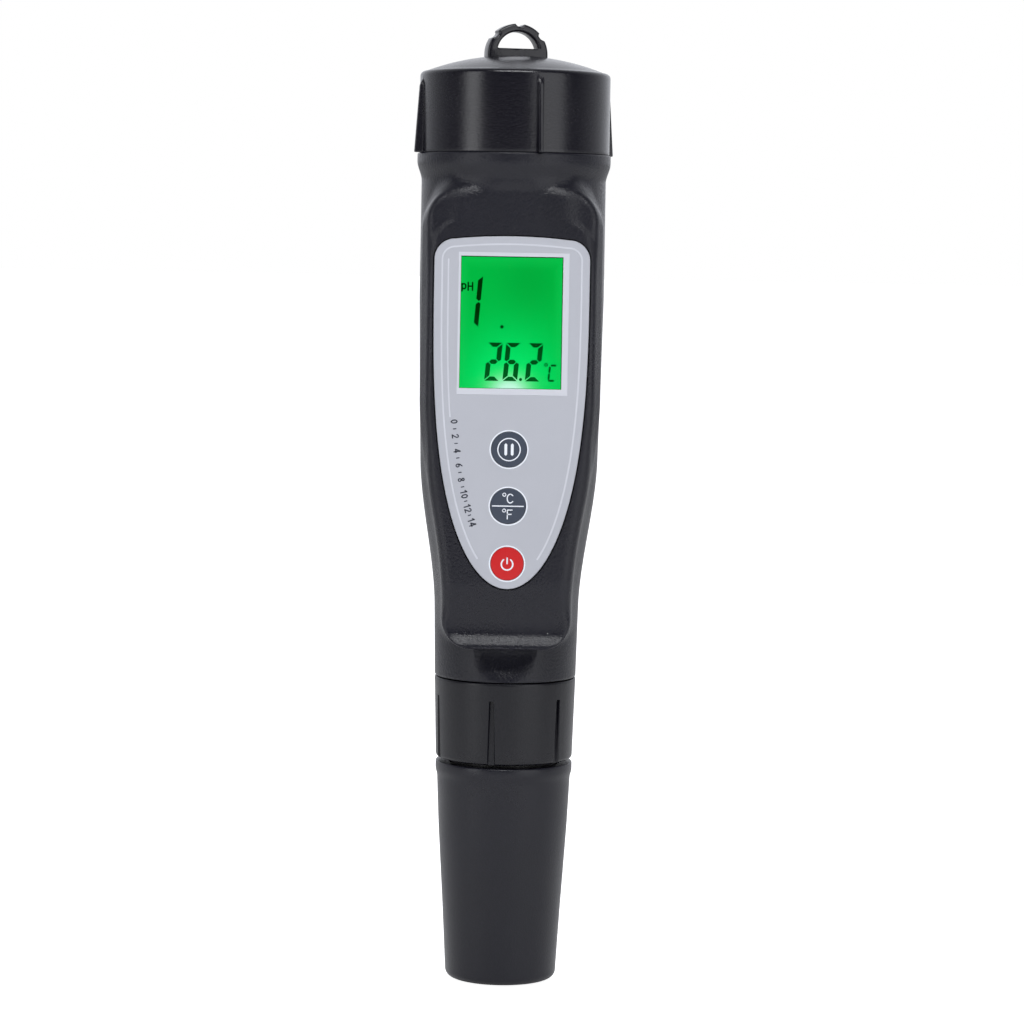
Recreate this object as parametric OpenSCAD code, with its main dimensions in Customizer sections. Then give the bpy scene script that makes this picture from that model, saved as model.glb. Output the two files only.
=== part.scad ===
// Pen-type pH and temperature meter, millimetres.
// Z runs up the pen from the protective cap's flat base. The display faces -Y.

/* [Protective cap] */
// height of the cap over the probe
cap_h = 42.6; // [42:0.1:42.9]
// outside radius under the rim band
cap_top_r = 13.16; // [12.9:0.01:13.3]
// outside radius near the base
cap_base_r = 10.88; // [10.6:0.02:11.2]
// rim band radius
cap_rim_r = 13.45; // [13.2:0.01:13.8]
// bore that slides over the sealing rings
cap_bore_r = 11.05; // [11.04:0.01:11.2]

/* [Locking collar] */
// collar height
collar_h = 15.95; // [15.5:0.05:16.1]
// collar top radius
collar_top_r = 13.9; // [13.7:0.05:14.2]
// collar bottom radius
collar_low_r = 13.45; // [13.3:0.05:13.9]
// number of grip grooves
grip_count = 6; // [4:1:8]
// angle of the first groove from the front
grip_yaw = -10.6; // [-30:0.1:30]

/* [Housing] */
// widest tube radius
tube_r = 18.2; // [18:0.05:18.6]
// band radius under the battery cap
band_r = 19.1; // [18.9:0.05:19.3]
// wall thickness of the tube
wall = 1.8; // [1.6:0.1:2]
// depth of the pod's front plane from the axis
front_d = 17.5; // [17.3:0.1:17.7]
// height of the finger lip's lower edge
lip_z = 66.3; // [66:0.1:66.6]
// half width of the pod's lower end
pod_low_w = 12.6; // [12:0.1:13]
// half width of the pod beside the display
pod_top_w = 17.5; // [17.3:0.05:17.8]
// half width of the pod's front plane, before its sides draw back
pod_flat_w = 15.9; // [15.7:0.05:16.1]
// corner radius at the pod's lower end
pod_corner = 5.8; // [5:0.1:6]

/* [Panel] */
// overlay half width
panel_w = 15; // [14.8:0.05:15.3]
// overlay thickness
panel_t = 0.8; // [0.7:0.05:0.9]
// height of the overlay's nose
panel_low_z = 78; // [77.5:0.1:78.5]
// height of the overlay's top edge
panel_top_z = 146; // [145.5:0.1:146.4]
// display window width
window_w = 19.7; // [19:0.1:20]
// display window height
window_h = 25.5; // [25:0.1:26]
// middle of the display window
window_z = 129.35; // [129:0.05:129.6]

/* [Keys] */
// hold and unit key radius
key_r = 3.44; // [3.3:0.01:3.6]
// power key radius
power_r = 3.2; // [3:0.01:3.4]
// key heights, from the top
key_z = [104.9, 94, 82.9];

/* [Battery cap] */
// knurled cap radius
top_r = 18.8; // [18.6:0.05:19]
// dome height
dome_h = 3.3; // [2.8:0.1:3.6]
// turn of the loop and the grip ribs
cap_yaw = 15; // [0:1:45]
// rib reach beyond the cap at its foot
rib_out = 1.5; // [1:0.1:1.6]
// rib reach beyond the cap at its head
rib_head = 0.6; // [0.2:0.1:0.8]

/* [Cells] */
// button cell radius
cell_r = 5.8; // [5.7:0.01:5.85]
// button cell height
cell_h = 5.4; // [5.3:0.05:5.4]
// number of cells in the column
cell_count = 4; // [4:1:4]

/* [Threads] */
// advance of each thread per turn
lead = 4; // [4:1:4]
// thread ridge height along the axis
ridge_h = 1.6; // [1.4:0.05:1.65]

/* [Hidden] */
$fn = 96;
eps = 0.02;

// heights of the main joints between pieces
seam_z = 59.4;
spigot_z = 50.2;
collar_z = 43.3;
band_z = 162.2;
neck_z = 171;
cavity_low_z = 68;
cavity_top_z = 158.5;
ledge_z = 160.2;

// thread radii: root, crest and bore of the battery neck and of the lower spigot
neck_root = 15.6;
neck_crest = 16.35;
neck_bore = 13.5;
cap_thread_bore = 16.6;
cap_thread_crest = 15.85;
neck_thread_z = 164.9;
spigot_root = 11.5;
spigot_crest = 12.1;
collar_bore = 12.3;
collar_crest = 11.7;
spigot_thread_z = 51.2;
socket_bore = 9.2;
socket_seat_r = 9.9;

// front stack, as depths from the axis
recess_d = front_d - 0.9;
chassis_back_d = recess_d - 1.4;
tray_back_d = 11.1;
board_front_d = 11;
board_back_d = 9.4;

// battery column
cell_y = 4;
cell_low_z = 140.7;

// smooth step from 0 to 1 between a and b
function ramp(v, a, b) = let(t = max(0, min(1, (v - a) / (b - a)))) t * t * (3 - 2 * t);

// tube radius at height z
function lower_line(z) = collar_top_r + 0.022 * (z - seam_z);
function upper_line(z) = min(tube_r, 17.55 + 0.022 * (z - 104));
function tube(z) = let(s = ramp(z, 73, 102)) lower_line(z) * (1 - s) + upper_line(z) * s;

// overlay half width at height z, an ogive from the nose
function ogive(z) = panel_w * sqrt(max(0, 1 - pow(max(0, 1 - (z - panel_low_z) / 60), 2.9)));

// pod half width at height z
function pod(z) = pod_low_w + (pod_top_w - pod_low_w) * ramp(z, 74, 115);

// points of an arc
function arc(cx, cy, r, a0, a1, n) =
  [for (i = [0:n]) let(a = a0 + (a1 - a0) * i / n) [cx + r * cos(a), cy + r * sin(a)]];

// a half outline closed by its mirror image
function mirrored(half) =
  concat(half, [for (i = [len(half) - 1:-1:0]) if (half[i][0] > eps) [-half[i][0], half[i][1]]]);

// overlay outline drawn in from its edge by an amount
function panel_half(inset) =
  let(rc = 4, bow = 0.6, k = (panel_w - inset) / panel_w)
  concat(
    [[0, panel_low_z + inset]],
    [for (i = [1:14]) let(z = panel_low_z + 60 * pow(i / 14, 2))
      [ogive(z) * k, max(z, panel_low_z + inset + 0.2 * i * inset / 14)]],
    arc(panel_w - rc, panel_top_z - bow - rc, rc - inset, 0, 90, 6),
    [for (i = [4:-1:0]) let(x = (panel_w - rc) * i / 5)
      [x, panel_top_z - inset - bow * pow(i / 5, 2)]]);

// height of the pod's arched top beside the middle
function arch(x) = 158 - 2 * pow(x / 12, 2.2) - 0.4 * pow(max(0, x - 12.5), 2);

// pod outline seen from the front, with an arched top
pod_half = concat(
  [[0, lip_z]],
  arc(pod_low_w - pod_corner, lip_z + pod_corner, pod_corner, -90, 0, 6),
  [for (z = [74:4:146]) [pod(z), z]],
  [for (x = [16.6, 15.8, 15, 14, 12.6, 10.8, 8, 4, 0]) [x, arch(x)]]);

// pod cavity outline
cavity_half = concat(
  [[0, cavity_low_z + 1.5]],
  [[pod_low_w - 5, cavity_low_z + 1.5], [pod_low_w - 2, cavity_low_z + 4.5]],
  [for (z = [74:6:140]) [pod(z) - 2, z]],
  [[14.6, 147.5], [11, 149.5], [0, 149.5]]);

// a front outline given in x and z, made solid between two depths
module slab(d0, d1) {
  translate([0, -d0, 0]) rotate([90, 0, 0]) linear_extrude(d1 - d0) children();
}

// a rectangle in x and z with round corners
module soft_rect(w, h, r) {
  square([w - 2 * r, h], center = true);
  square([w, h - 2 * r], center = true);
  for (x = [-1, 1], y = [-1, 1]) translate([x * (w / 2 - r), y * (h / 2 - r)]) circle(r);
}

// one interrupted thread: short ridges that climb at the thread's lead
module ridge(r0, r1, z0, a0, turns) {
  step = 22.5;
  for (i = [0:turns * 360 / step - 1]) {
    rotate([0, 0, a0 + i * step]) translate([0, 0, z0 + i * step * lead / 360])
      rotate_extrude(angle = step - 4) translate([r0, 0]) square([r1 - r0, ridge_h]);
  }
}

// a ring turned from a square section
module ring(r0, r1, z0, z1) {
  translate([0, 0, z0]) difference() {
    cylinder(r = r1, h = z1 - z0);
    translate([0, 0, -1]) cylinder(r = r0, h = z1 - z0 + 2);
  }
}

// a round sealing ring
module o_ring(major, minor, z) {
  translate([0, 0, z]) rotate_extrude() translate([major, 0]) circle(minor);
}

// places a child at the height of each key, at a depth from the axis
module at_key(i, d) {
  translate([0, -d, key_z[i]]) rotate([90, 0, 0]) children();
}

module pod_body() {
  intersection() {
    slab(0, front_d + 1) polygon(mirrored(pod_half));
    // side profile: sloped top, flat front, hollow above the lower lip, sloped underside
    translate([-20, 0, 0]) rotate([90, 0, 90]) linear_extrude(40)
      polygon([[0, 158], [-front_d + 1.8, 158], [-front_d, 156.2], [-front_d, 77],
        [-front_d + 0.7, 70.5], [-front_d + 0.4, 68.8], [-front_d - 0.2, 67.4],
        [-front_d, lip_z], [-11.5, lip_z - 0.5], [0, lip_z - 0.5]]);
    // plan section: a flat front between steeply drafted sides
    translate([0, 0, 60]) linear_extrude(100)
      polygon(mirrored([[0, 0], [tube_r, 0], [tube_r, -front_d + 5.4], [pod_flat_w, -front_d + 0.2],
        [pod_flat_w - 0.25, -front_d], [pod_flat_w - 0.25, -front_d - 1], [0, -front_d - 1]]));
  }
}

module housing() {
  tube_z = [for (z = [61:3:103]) z];
  color("#2e2f32") difference() {
    union() {
      rotate_extrude() polygon(concat(
        [[0, seam_z], [tube(seam_z) - 0.3, seam_z], [tube(seam_z), seam_z + 0.3]],
        [for (z = tube_z) [tube(z), z]],
        [[tube(129), 129], [tube_r, 156.6], [band_r, 160.1], [band_r, band_z - 0.3],
          [band_r - 0.3, band_z], [0, band_z]]));
      pod_body();
      translate([0, 0, band_z - 1]) cylinder(r = neck_root, h = neck_z - band_z + 1);
      ridge(neck_root - 0.4, neck_crest, neck_thread_z, 0, 0.875);
      translate([0, 0, spigot_z]) cylinder(r = spigot_root, h = seam_z - spigot_z + 1);
      ridge(spigot_root - 0.4, spigot_crest, spigot_thread_z, 0, 1.25);
    }
    // main cavity
    rotate_extrude() polygon(concat(
      [[0, cavity_low_z], [tube(cavity_low_z) - wall, cavity_low_z]],
      [for (z = tube_z) if (z > cavity_low_z) [tube(z) - wall, z]],
      [[tube(129) - wall, 129], [tube_r - wall, 156], [tube_r - wall - 2.5, cavity_top_z],
        [0, cavity_top_z]]));
    // flat cut across the front of the tube, level with the pod
    translate([-10, 0, 0]) rotate([90, 0, 90]) linear_extrude(20)
      polygon([[-22, 78], [-front_d - eps, 78], [-front_d - eps, 156.2], [-tube_r, 157.6],
        [-22, 157.6]]);
    // space behind the panel
    slab(4, recess_d - 1.4) polygon(mirrored(cavity_half));
    // overlay recess and the opening that takes the chassis
    slab(recess_d, 22) polygon(mirrored(panel_half(-0.12)));
    slab(10, recess_d + 1) polygon(mirrored(panel_half(1.6)));
    // neck bore with a ledge for the battery guide
    translate([0, 0, cavity_top_z - 1]) cylinder(r = neck_bore - 0.6, h = 20);
    translate([0, 0, ledge_z]) cylinder(r = neck_bore, h = 20);
    // groove for the neck seal
    ring(14.9, 17, 162.35, 164.1);
    // socket seat and plug bore
    translate([0, 0, spigot_z - 1]) cylinder(r = socket_bore, h = 30);
    translate([0, 0, 60]) cylinder(r = socket_seat_r, h = 12);
    // scoop below the pod's lower lip
    intersection() {
      translate([-10, 0, 0]) rotate([90, 0, 90]) linear_extrude(20)
        polygon([[-20, lip_z - 0.4], [-12.3, lip_z - 0.4], [-12.45, 64.4], [-13.1, 62.7],
          [-14.6, 60.2], [-20, 60.2]]);
      slab(10, 22) polygon([[-6.2, 66.3], [6.2, 66.3], [4.6, 60], [-4.6, 60]]);
    }
  }
}

module panel_overlay() {
  color("#bcc0cb") difference() {
    slab(recess_d, recess_d + panel_t) polygon(mirrored(panel_half(0)));
    slab(10, 22) translate([0, window_z]) soft_rect(window_w + 1.8, window_h + 1.8, 0.4);
    for (i = [0:1]) at_key(i, 10) cylinder(r = key_r + 0.06, h = 12);
    at_key(2, 10) cylinder(r = power_r + 0.06, h = 12);
  }
}

module display_lens() {
  color([0.9, 1, 0.95, 0.35]) slab(recess_d + 0.05, recess_d + panel_t - 0.05)
    translate([0, window_z]) soft_rect(window_w + 1.7, window_h + 1.7, 0.35);
}

module lcd_cell() {
  color("#00a84a") difference() {
    slab(recess_d - 2.2, recess_d - 0.1) translate([0, window_z + 0.3])
      square([window_w + 3.7, window_h + 5], center = true);
    // the front glass ends below the back glass, clear of the housing's rim
    slab(recess_d - 1.45, recess_d + 1) translate([0, window_z + 15.85])
      square([40, 3.6], center = true);
  }
}

module light_guide() {
  color([0.85, 1, 0.9, 0.6]) difference() {
    slab(recess_d - 3.9, recess_d - 2.3) translate([0, window_z])
      square([window_w + 1.8, window_h + 1.2], center = true);
    // notch that lets the lamp shine into the edge
    slab(5, 20) translate([0, window_z - window_h / 2 - 0.6]) square([3.4, 1.2], center = true);
  }
}

module backlight_led() {
  color("#e9f5d0") slab(recess_d - 3.8, recess_d - 2.5)
    translate([0, window_z - window_h / 2 - 0.7]) square([3, 1.2], center = true);
}

module lcd_tray() {
  color("#e8e8e4") difference() {
    slab(tray_back_d, chassis_back_d - 0.05) translate([0, window_z + 0.3])
      square([window_w + 6, window_h + 7.6], center = true);
    slab(recess_d - 2.25, 20) translate([0, window_z + 0.3])
      square([window_w + 3.9, window_h + 5.2], center = true);
    slab(recess_d - 4, 20) translate([0, window_z])
      square([window_w + 2, window_h + 1.5], center = true);
    // pocket for the lamp
    slab(recess_d - 4, 20) translate([0, window_z - window_h / 2 - 0.8])
      square([3.3, 1.8], center = true);
    // slot for the contact strip
    slab(5, 20) translate([0, window_z + 14.9]) square([21.4, 1.8], center = true);
  }
}

module elastomer_strip() {
  color("#d9a6a0") slab(board_front_d + 0.02, recess_d - 2.22) translate([0, window_z + 14.9])
    square([21, 1.5], center = true);
}

module inner_chassis() {
  color("#3a3b3e") difference() {
    union() {
      slab(chassis_back_d, recess_d - 0.02) polygon(mirrored(panel_half(1.85)));
      // guide bosses behind each key, kept inside the plate's outline
      intersection() {
        slab(10, recess_d - 0.02) polygon(mirrored(panel_half(1.85)));
        for (i = [0:2]) at_key(i, chassis_back_d - 1.5) cylinder(r = 4, h = 2);
      }
      // screw posts
      for (x = [-1, 1]) {
        translate([x * 10.6, -board_front_d, 110.5]) rotate([90, 0, 0])
          cylinder(r = 1.6, h = chassis_back_d - board_front_d + 0.5);
      }
      translate([0, -board_front_d, 88.4]) rotate([90, 0, 0])
        cylinder(r = 1.4, h = chassis_back_d - board_front_d + 0.5);
    }
    // opening for the display
    slab(10, 22) translate([0, window_z + 0.3])
      square([window_w + 4.1, window_h + 5.4], center = true);
    // key pockets and guide bores
    for (i = [0:2]) at_key(i, recess_d - 0.85) cylinder(r = key_r + 0.86, h = 3);
    for (i = [0:2]) at_key(i, 5) cylinder(r = 2, h = 20);
    // screw pilot holes
    for (x = [-1, 1]) translate([x * 10.6, -chassis_back_d - 0.4, 110.5]) rotate([-90, 0, 0])
      cylinder(r = 0.8, h = 20);
    translate([0, -chassis_back_d - 0.4, 88.4]) rotate([-90, 0, 0]) cylinder(r = 0.8, h = 20);
  }
}

board_half = [[0, 74.5], [7.2, 74.5], [8, 76], [9.6, 88], [12.4, 100], [12.8, 148], [0, 148]];

module main_board() {
  color("#1f6b3a") difference() {
    slab(board_back_d, board_front_d) polygon(mirrored(board_half));
    for (x = [-1, 1]) translate([x * 10.6, 0, 110.5]) rotate([90, 0, 0]) cylinder(r = 1, h = 20);
    translate([0, 0, 88.4]) rotate([90, 0, 0]) cylinder(r = 1, h = 20);
    // locating notches at the sides
    for (x = [-1, 1]) translate([x * 12.8, -15, 130]) cube([1.6, 30, 3], center = true);
  }
}

module board_screw() {
  translate([0, -board_back_d, 0]) rotate([90, 0, 0]) cylinder(r = 0.76, h = 4);
  difference() {
    translate([0, -board_back_d, 0]) rotate([-90, 0, 0]) cylinder(r = 1.5, h = 1);
    for (a = [0, 90]) translate([0, -board_back_d + 0.9, 0]) rotate([0, a, 0])
      cube([2, 0.8, 0.4], center = true);
  }
}

module board_screws() {
  color("#b8babd") {
    for (x = [-1, 1]) translate([x * 10.6, 0, 110.5]) board_screw();
    translate([0, 0, 88.4]) board_screw();
  }
}

// a push switch: a square can with a bore for its button and four legs
module switch_can(i) {
  difference() {
    slab(board_front_d, board_front_d + 1.6) translate([0, key_z[i]])
      square([5.2, 5.2], center = true);
    at_key(i, board_front_d + 0.5) cylinder(r = 1.46, h = 3);
  }
  for (x = [-1, 1], z = [-1, 1]) slab(board_front_d, board_front_d + 0.4)
    translate([x * 2.9, key_z[i] + z * 1.6]) square([0.8, 0.7], center = true);
}

module hold_switch() {
  color("#c9cacc") switch_can(0);
}

module unit_switch() {
  color("#c9cacc") switch_can(1);
}

module power_switch() {
  color("#c9cacc") switch_can(2);
}

// a chip package with a row of legs on each side, on the back of the board
module chip(x, z, w, h, legs) {
  slab(board_back_d - 1.1, board_back_d) translate([x, z]) square([w, h], center = true);
  for (s = [-1, 1], i = [0:legs - 1]) slab(board_back_d - 0.35, board_back_d)
    translate([x + s * (w / 2 + 0.4), z + (i - (legs - 1) / 2) * h / (legs + 0.5)])
    square([1, 0.35], center = true);
}

module processor_chip() {
  color("#1b1b1d") chip(0, 122, 7, 7, 8);
}

module amplifier_chip() {
  color("#1b1b1d") chip(2, 97, 4, 5, 4);
}

module crystal() {
  color("#c8c9ca") slab(board_back_d - 1.2, board_back_d) translate([7.5, 117])
    soft_rect(2.2, 5.4, 0.9);
}

module chip_resistors() {
  color("#3b2f28") {
    for (i = [0:4]) slab(board_back_d - 0.5, board_back_d) translate([-7.6, 113 + i * 3.2])
      square([1.6, 0.8], center = true);
    for (i = [0:3]) slab(board_back_d - 0.5, board_back_d) translate([-3.5, 91 + i * 3])
      square([1.6, 0.8], center = true);
  }
}

// a battery leaf: foot on the board, arm and contact pad
module leaf(x) {
  translate([x - 0.9, -board_back_d, 137]) cube([1.8, 0.4, 3]);
  translate([x - 0.9, -board_back_d, 139.6]) cube([1.8, 5.4, 0.4]);
  translate([x - 0.9, -4.4, 139.6]) cube([1.8, 0.4, 4]);
}

module positive_leaf() {
  color("#d2b36a") leaf(-2.8);
}

module negative_leaf() {
  color("#d2b36a") leaf(2.8);
}

module battery_guide() {
  color("#d9d9d6") difference() {
    union() {
      translate([0, 0, ledge_z + 0.02]) cylinder(r = neck_bore - 0.05, h = 1.5);
      translate([0, cell_y, 137.5]) cylinder(r = 8.5, h = ledge_z - 137);
    }
    translate([0, cell_y, 130]) cylinder(r = 7.5, h = 40);
    // front slot for the contact block
    translate([-5.3, -10, 130]) cube([10.6, 12, 30.1]);
  }
}

module neck_seal() {
  color("#151516") o_ring(15.82, 0.87, 163.22);
}

module probe_socket() {
  color("#222326") difference() {
    translate([0, 0, 60.02]) cylinder(r = socket_seat_r - 0.04, h = 6);
    for (a = [45:90:315]) rotate([0, 0, a]) translate([4.5, 0, 59]) cylinder(r = 0.6, h = 5.6);
    // key slot
    translate([6.9, -0.8, 59]) cube([2, 1.6, 2.4]);
  }
}

module signal_leads() {
  color("#b83a30") for (i = [-1.5, -0.5, 0.5, 1.5]) {
    translate([i * 2.2, -6, 66.04]) cylinder(r = 0.45, h = 13.4);
    translate([i * 2.2, -6, 79.44]) sphere(0.45);
    translate([i * 2.2, -6, 79.44]) rotate([90, 0, 0]) cylinder(r = 0.45, h = board_back_d - 6.02);
  }
}

module battery_carrier() {
  color("#d9d9d6") difference() {
    union() {
      translate([0, cell_y, 138.4]) cylinder(r = 7.4, h = 29);
      // contact block at the front of the foot
      translate([-5, -3.4, 138.4]) cube([10, 4, 7]);
      translate([0, 0, 166.8]) cylinder(r = neck_bore - 0.1, h = 3);
      // swivel stem and head
      translate([0, 0, 169]) cylinder(r = 2.5, h = 5);
      translate([0, 0, 172.6]) cylinder(r1 = 3.6, r2 = 2.9, h = 1.6);
    }
    // column for the cells
    translate([0, cell_y, 140]) cylinder(r = 5.95, h = 25.9);
    // front opening that lets the cells out
    translate([-5, -10, 146]) cube([10, 13, 19.9]);
    translate([-4.9, -10, 145.4]) cube([9.8, 8.9, 0.7]);
    // slots for the contact strips
    for (x = [-2.8, 2.8]) translate([x - 1.3, -3.6, 139]) cube([2.6, 0.7, 8]);
    translate([-4.1, -4, 139.98]) cube([2.6, 5, 0.75]);
    translate([1.5, -3.6, 145]) cube([2.6, 3, 1]);
  }
}

module button_cells() {
  color("#c6c8cb") for (i = [0:cell_count - 1]) {
    translate([0, cell_y, cell_low_z + i * cell_h]) {
      cylinder(r = cell_r, h = cell_h * 0.86);
      cylinder(r = cell_r * 0.82, h = cell_h - eps);
    }
  }
}

module positive_contact() {
  color("#d2b36a") {
    translate([0, cell_y, 140.02]) cylinder(r = 5, h = 0.4);
    translate([0, cell_y, 140.3]) cylinder(r = 1.6, h = 0.38);
    translate([-3.7, -3.3, 140.02]) cube([1.8, 5, 0.4]);
    translate([-3.7, -3.3, 139.6]) cube([1.8, 0.35, 5]);
  }
}

module negative_contact() {
  color("#c6c8cb") {
    translate([0, cell_y, 165.4]) cylinder(r = 4.6, h = 0.4);
    // bent leaf that presses on the top cell
    translate([-1.5, 1.2, 165.5]) rotate([-33, 0, 0]) cube([3, 5, 0.3]);
    translate([0, 5.6, 163.02]) sphere(0.7);
    // strip down the front to the contact block
    translate([2.2, -2.2, 165.4]) cube([1.2, 4, 0.4]);
    translate([2.2, -2.2, 145.06]) cube([1.2, 0.3, 20.5]);
    translate([2.2, -3.3, 145.06]) cube([1.2, 1.4, 0.3]);
    translate([1.9, -3.3, 141]) cube([1.8, 0.35, 4.36]);
  }
}

module battery_cap() {
  dome_low = 178.4;
  loop_r = 6.1;
  loop_z = 188 - loop_r;
  dome_r = (dome_h * dome_h + 17.6 * 17.6) / (2 * dome_h);
  color("#202124") difference() {
    union() {
      rotate_extrude() polygon(concat(
        [[0, band_z], [top_r - 0.2, band_z], [top_r, band_z + 0.3]],
        arc(top_r - 1, dome_low - 1, 1, 0, 80, 5),
        [[17.6, dome_low], [0, dome_low]]));
      intersection() {
        translate([0, 0, dome_low + dome_h - dome_r]) sphere(dome_r);
        translate([0, 0, dome_low - 0.5]) cylinder(r = 17.62, h = 10);
      }
      // grip ribs, widest at the foot
      rotate([0, 0, cap_yaw]) for (a = [0:90:270]) rotate([0, 0, a])
        translate([0.55, 0, 0]) rotate([0, -90, 0]) linear_extrude(1.1)
          polygon([[band_z, -top_r + 0.5], [band_z, -top_r - rib_out],
            [175.6, -top_r - rib_head], [176.7, -top_r], [176.7, -top_r + 0.5]]);
      // lanyard loop
      rotate([0, 0, cap_yaw]) translate([0, 1.9, 0]) rotate([90, 0, 0]) linear_extrude(3.8)
        union() {
          translate([0, loop_z]) circle(loop_r);
          translate([-loop_r, 179]) square([2 * loop_r, loop_z - 179]);
        }
    }
    // loop hole with a flat foot
    rotate([0, 0, cap_yaw]) translate([0, 5, 0]) rotate([90, 0, 0]) linear_extrude(10)
      intersection() {
        translate([0, 182.2]) circle(4.2);
        translate([-6, 183.1]) square([12, 8]);
      }
    // shallow notches around the loop's rim
    rotate([0, 0, cap_yaw]) for (a = [-50, 3, 54]) translate([0, 0, loop_z])
      rotate([0, a, 0]) translate([-0.65, -3, loop_r - 0.5]) cube([1.3, 6, 2]);
    // seal land, thread bore, cored top and the boss for the swivel plate
    translate([0, 0, 160]) cylinder(r = 16.75, h = 4.5);
    translate([0, 0, 160]) cylinder(r = cap_thread_bore, h = 10.9);
    ring(10.6, cap_thread_bore, 170.8, 176.6);
    translate([0, 0, 170.5]) cylinder(r = 9, h = 1.85);
    translate([0, 0, 170.5]) cylinder(r = 4.2, h = 4.4);
  }
  color("#202124") ridge(cap_thread_crest, cap_thread_bore + 0.4, neck_thread_z, 180, 1);
}

module swivel_plate() {
  color("#c6c8cb") ring(2.6, 8.98, 170.95, 172.34);
}

// a key: visible disc, hidden flange that stops it falling out, and stem
module key(i, r) {
  at_key(i, recess_d - 0.4) cylinder(r = r, h = 1.3);
  intersection() {
    at_key(i, recess_d - 0.4) cylinder(r = r + 0.6, h = 0.36);
    slab(10, recess_d) polygon(mirrored(panel_half(1.8)));
  }
  at_key(i, board_front_d + 2.1) cylinder(r = 1.9, h = recess_d - board_front_d - 2.4);
}

module plunger(i) {
  at_key(i, board_front_d + 0.9) cylinder(r = 1.4, h = 1.2);
}

module hold_key() {
  color("#56616f") key(0, key_r);
}

module hold_plunger() {
  color("#6b4a2a") plunger(0);
}

module unit_key() {
  color("#56616f") key(1, key_r);
}

module unit_plunger() {
  color("#6b4a2a") plunger(1);
}

module power_key() {
  color("#c9181f") key(2, power_r);
}

module power_plunger() {
  color("#6b4a2a") plunger(2);
}

module electrode_holder() {
  color("#26272a") difference() {
    union() {
      translate([0, 0, 45]) cylinder(r = 9, h = 11.9);
      translate([0, 0, 46.2]) cylinder(r = 11.3, h = 3.9);
      translate([0, 0, 33]) cylinder(r = 10.5, h = 14);
      translate([0, 0, 56]) translate([7.1, -0.6, 0]) cube([1.4, 1.2, 5]);
    }
    // grooves for the sealing rings
    ring(7.7, 12, 52.7, 54.3);
    ring(9.3, 12, 36, 37.8);
    ring(9.3, 12, 39.8, 41.6);
    // hollow for the leads, bores for stem, junction, sheath and guard
    translate([0, 0, 49]) cylinder(r = 6.4, h = 20);
    translate([0, 0, 30]) cylinder(r = 4.02, h = 30);
    translate([0, 5.4, 30]) cylinder(r = 0.82, h = 8);
    translate([5.3, 0, 30]) cylinder(r = 1.02, h = 30);
    ring(6.38, 7.62, 30, 36);
  }
}

module glass_stem() {
  color([0.85, 0.92, 0.95, 0.4]) ring(3, 4, 20.6, 52);
}

module ph_bulb() {
  color([0.8, 0.9, 0.95, 0.5]) difference() {
    translate([0, 0, 18]) sphere(4.24);
    translate([0, 0, 18]) sphere(3.7);
    translate([-6, -6, 20.58]) cube([12, 12, 5]);
  }
}

module reference_wire() {
  color("#d8dadc") {
    translate([0, 0, 17]) cylinder(r = 0.35, h = 36);
    translate([0, 0, 16.6]) sphere(0.7);
  }
}

module ceramic_junction() {
  color("#efeee8") translate([0, 5.4, 32.2]) cylinder(r = 0.8, h = 5.6);
}

module temperature_sheath() {
  color("#c9cbce") {
    translate([5.3, 0, 16]) cylinder(r = 1, h = 35);
    translate([5.3, 0, 16]) sphere(1);
  }
}

module probe_guard() {
  color("#e9e9e6") difference() {
    ring(6.4, 7.6, 10.5, 35.9);
    for (a = [0, 90]) rotate([0, 0, a + 45]) translate([-2.3, -12, 13.5]) cube([4.6, 24, 16]);
    for (a = [0, 90]) rotate([0, 0, a + 45]) translate([-1.4, -12, 10]) cube([2.8, 24, 2]);
  }
}

module pin_board() {
  color("#1f6b3a") difference() {
    translate([0, 0, 56.92]) cylinder(r = 6.8, h = 1);
    for (a = [45:90:315]) rotate([0, 0, a]) translate([4.5, 0, 56]) cylinder(r = 0.52, h = 3);
  }
}

module contact_pins() {
  color("#d2b36a") for (a = [45:90:315]) rotate([0, 0, a]) translate([4.5, 0, 55.5]) {
    cylinder(r = 0.5, h = 8);
    cylinder(r = 0.9, h = 1.4);
  }
}

module plug_seal() {
  color("#151516") o_ring(8.43, 0.72, 53.5);
}

module barrel_seals() {
  color("#151516") {
    o_ring(10.15, 0.84, 36.9);
    o_ring(10.15, 0.84, 40.7);
  }
}

module locking_collar() {
  collar_top = collar_z + collar_h;
  color("#26272a") difference() {
    rotate_extrude() polygon(concat(
      [[0, collar_z], [collar_low_r - 0.7, collar_z]],
      arc(collar_low_r - 0.7, collar_z + 0.7, 0.7, -90, 0, 4),
      [[collar_top_r, collar_top - 0.2], [collar_top_r - 0.2, collar_top], [0, collar_top]]));
    translate([0, 0, 40]) cylinder(r = 10.9, h = 30);
    translate([0, 0, 46.1]) cylinder(r = collar_bore, h = 30);
    // grip grooves, open at the lower edge
    for (i = [0:grip_count - 1]) rotate([0, 0, grip_yaw + i * 360 / grip_count])
      translate([0, -collar_low_r + 0.45, collar_z]) rotate([90, 0, 0]) linear_extrude(3)
        polygon([[-0.7, -1], [0.7, -1], [0.4, collar_h - 3.5], [-0.4, collar_h - 3.5]]);
  }
  color("#26272a") ridge(collar_crest, collar_bore + 0.3, spigot_thread_z, 180, 1.25);
}

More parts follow.
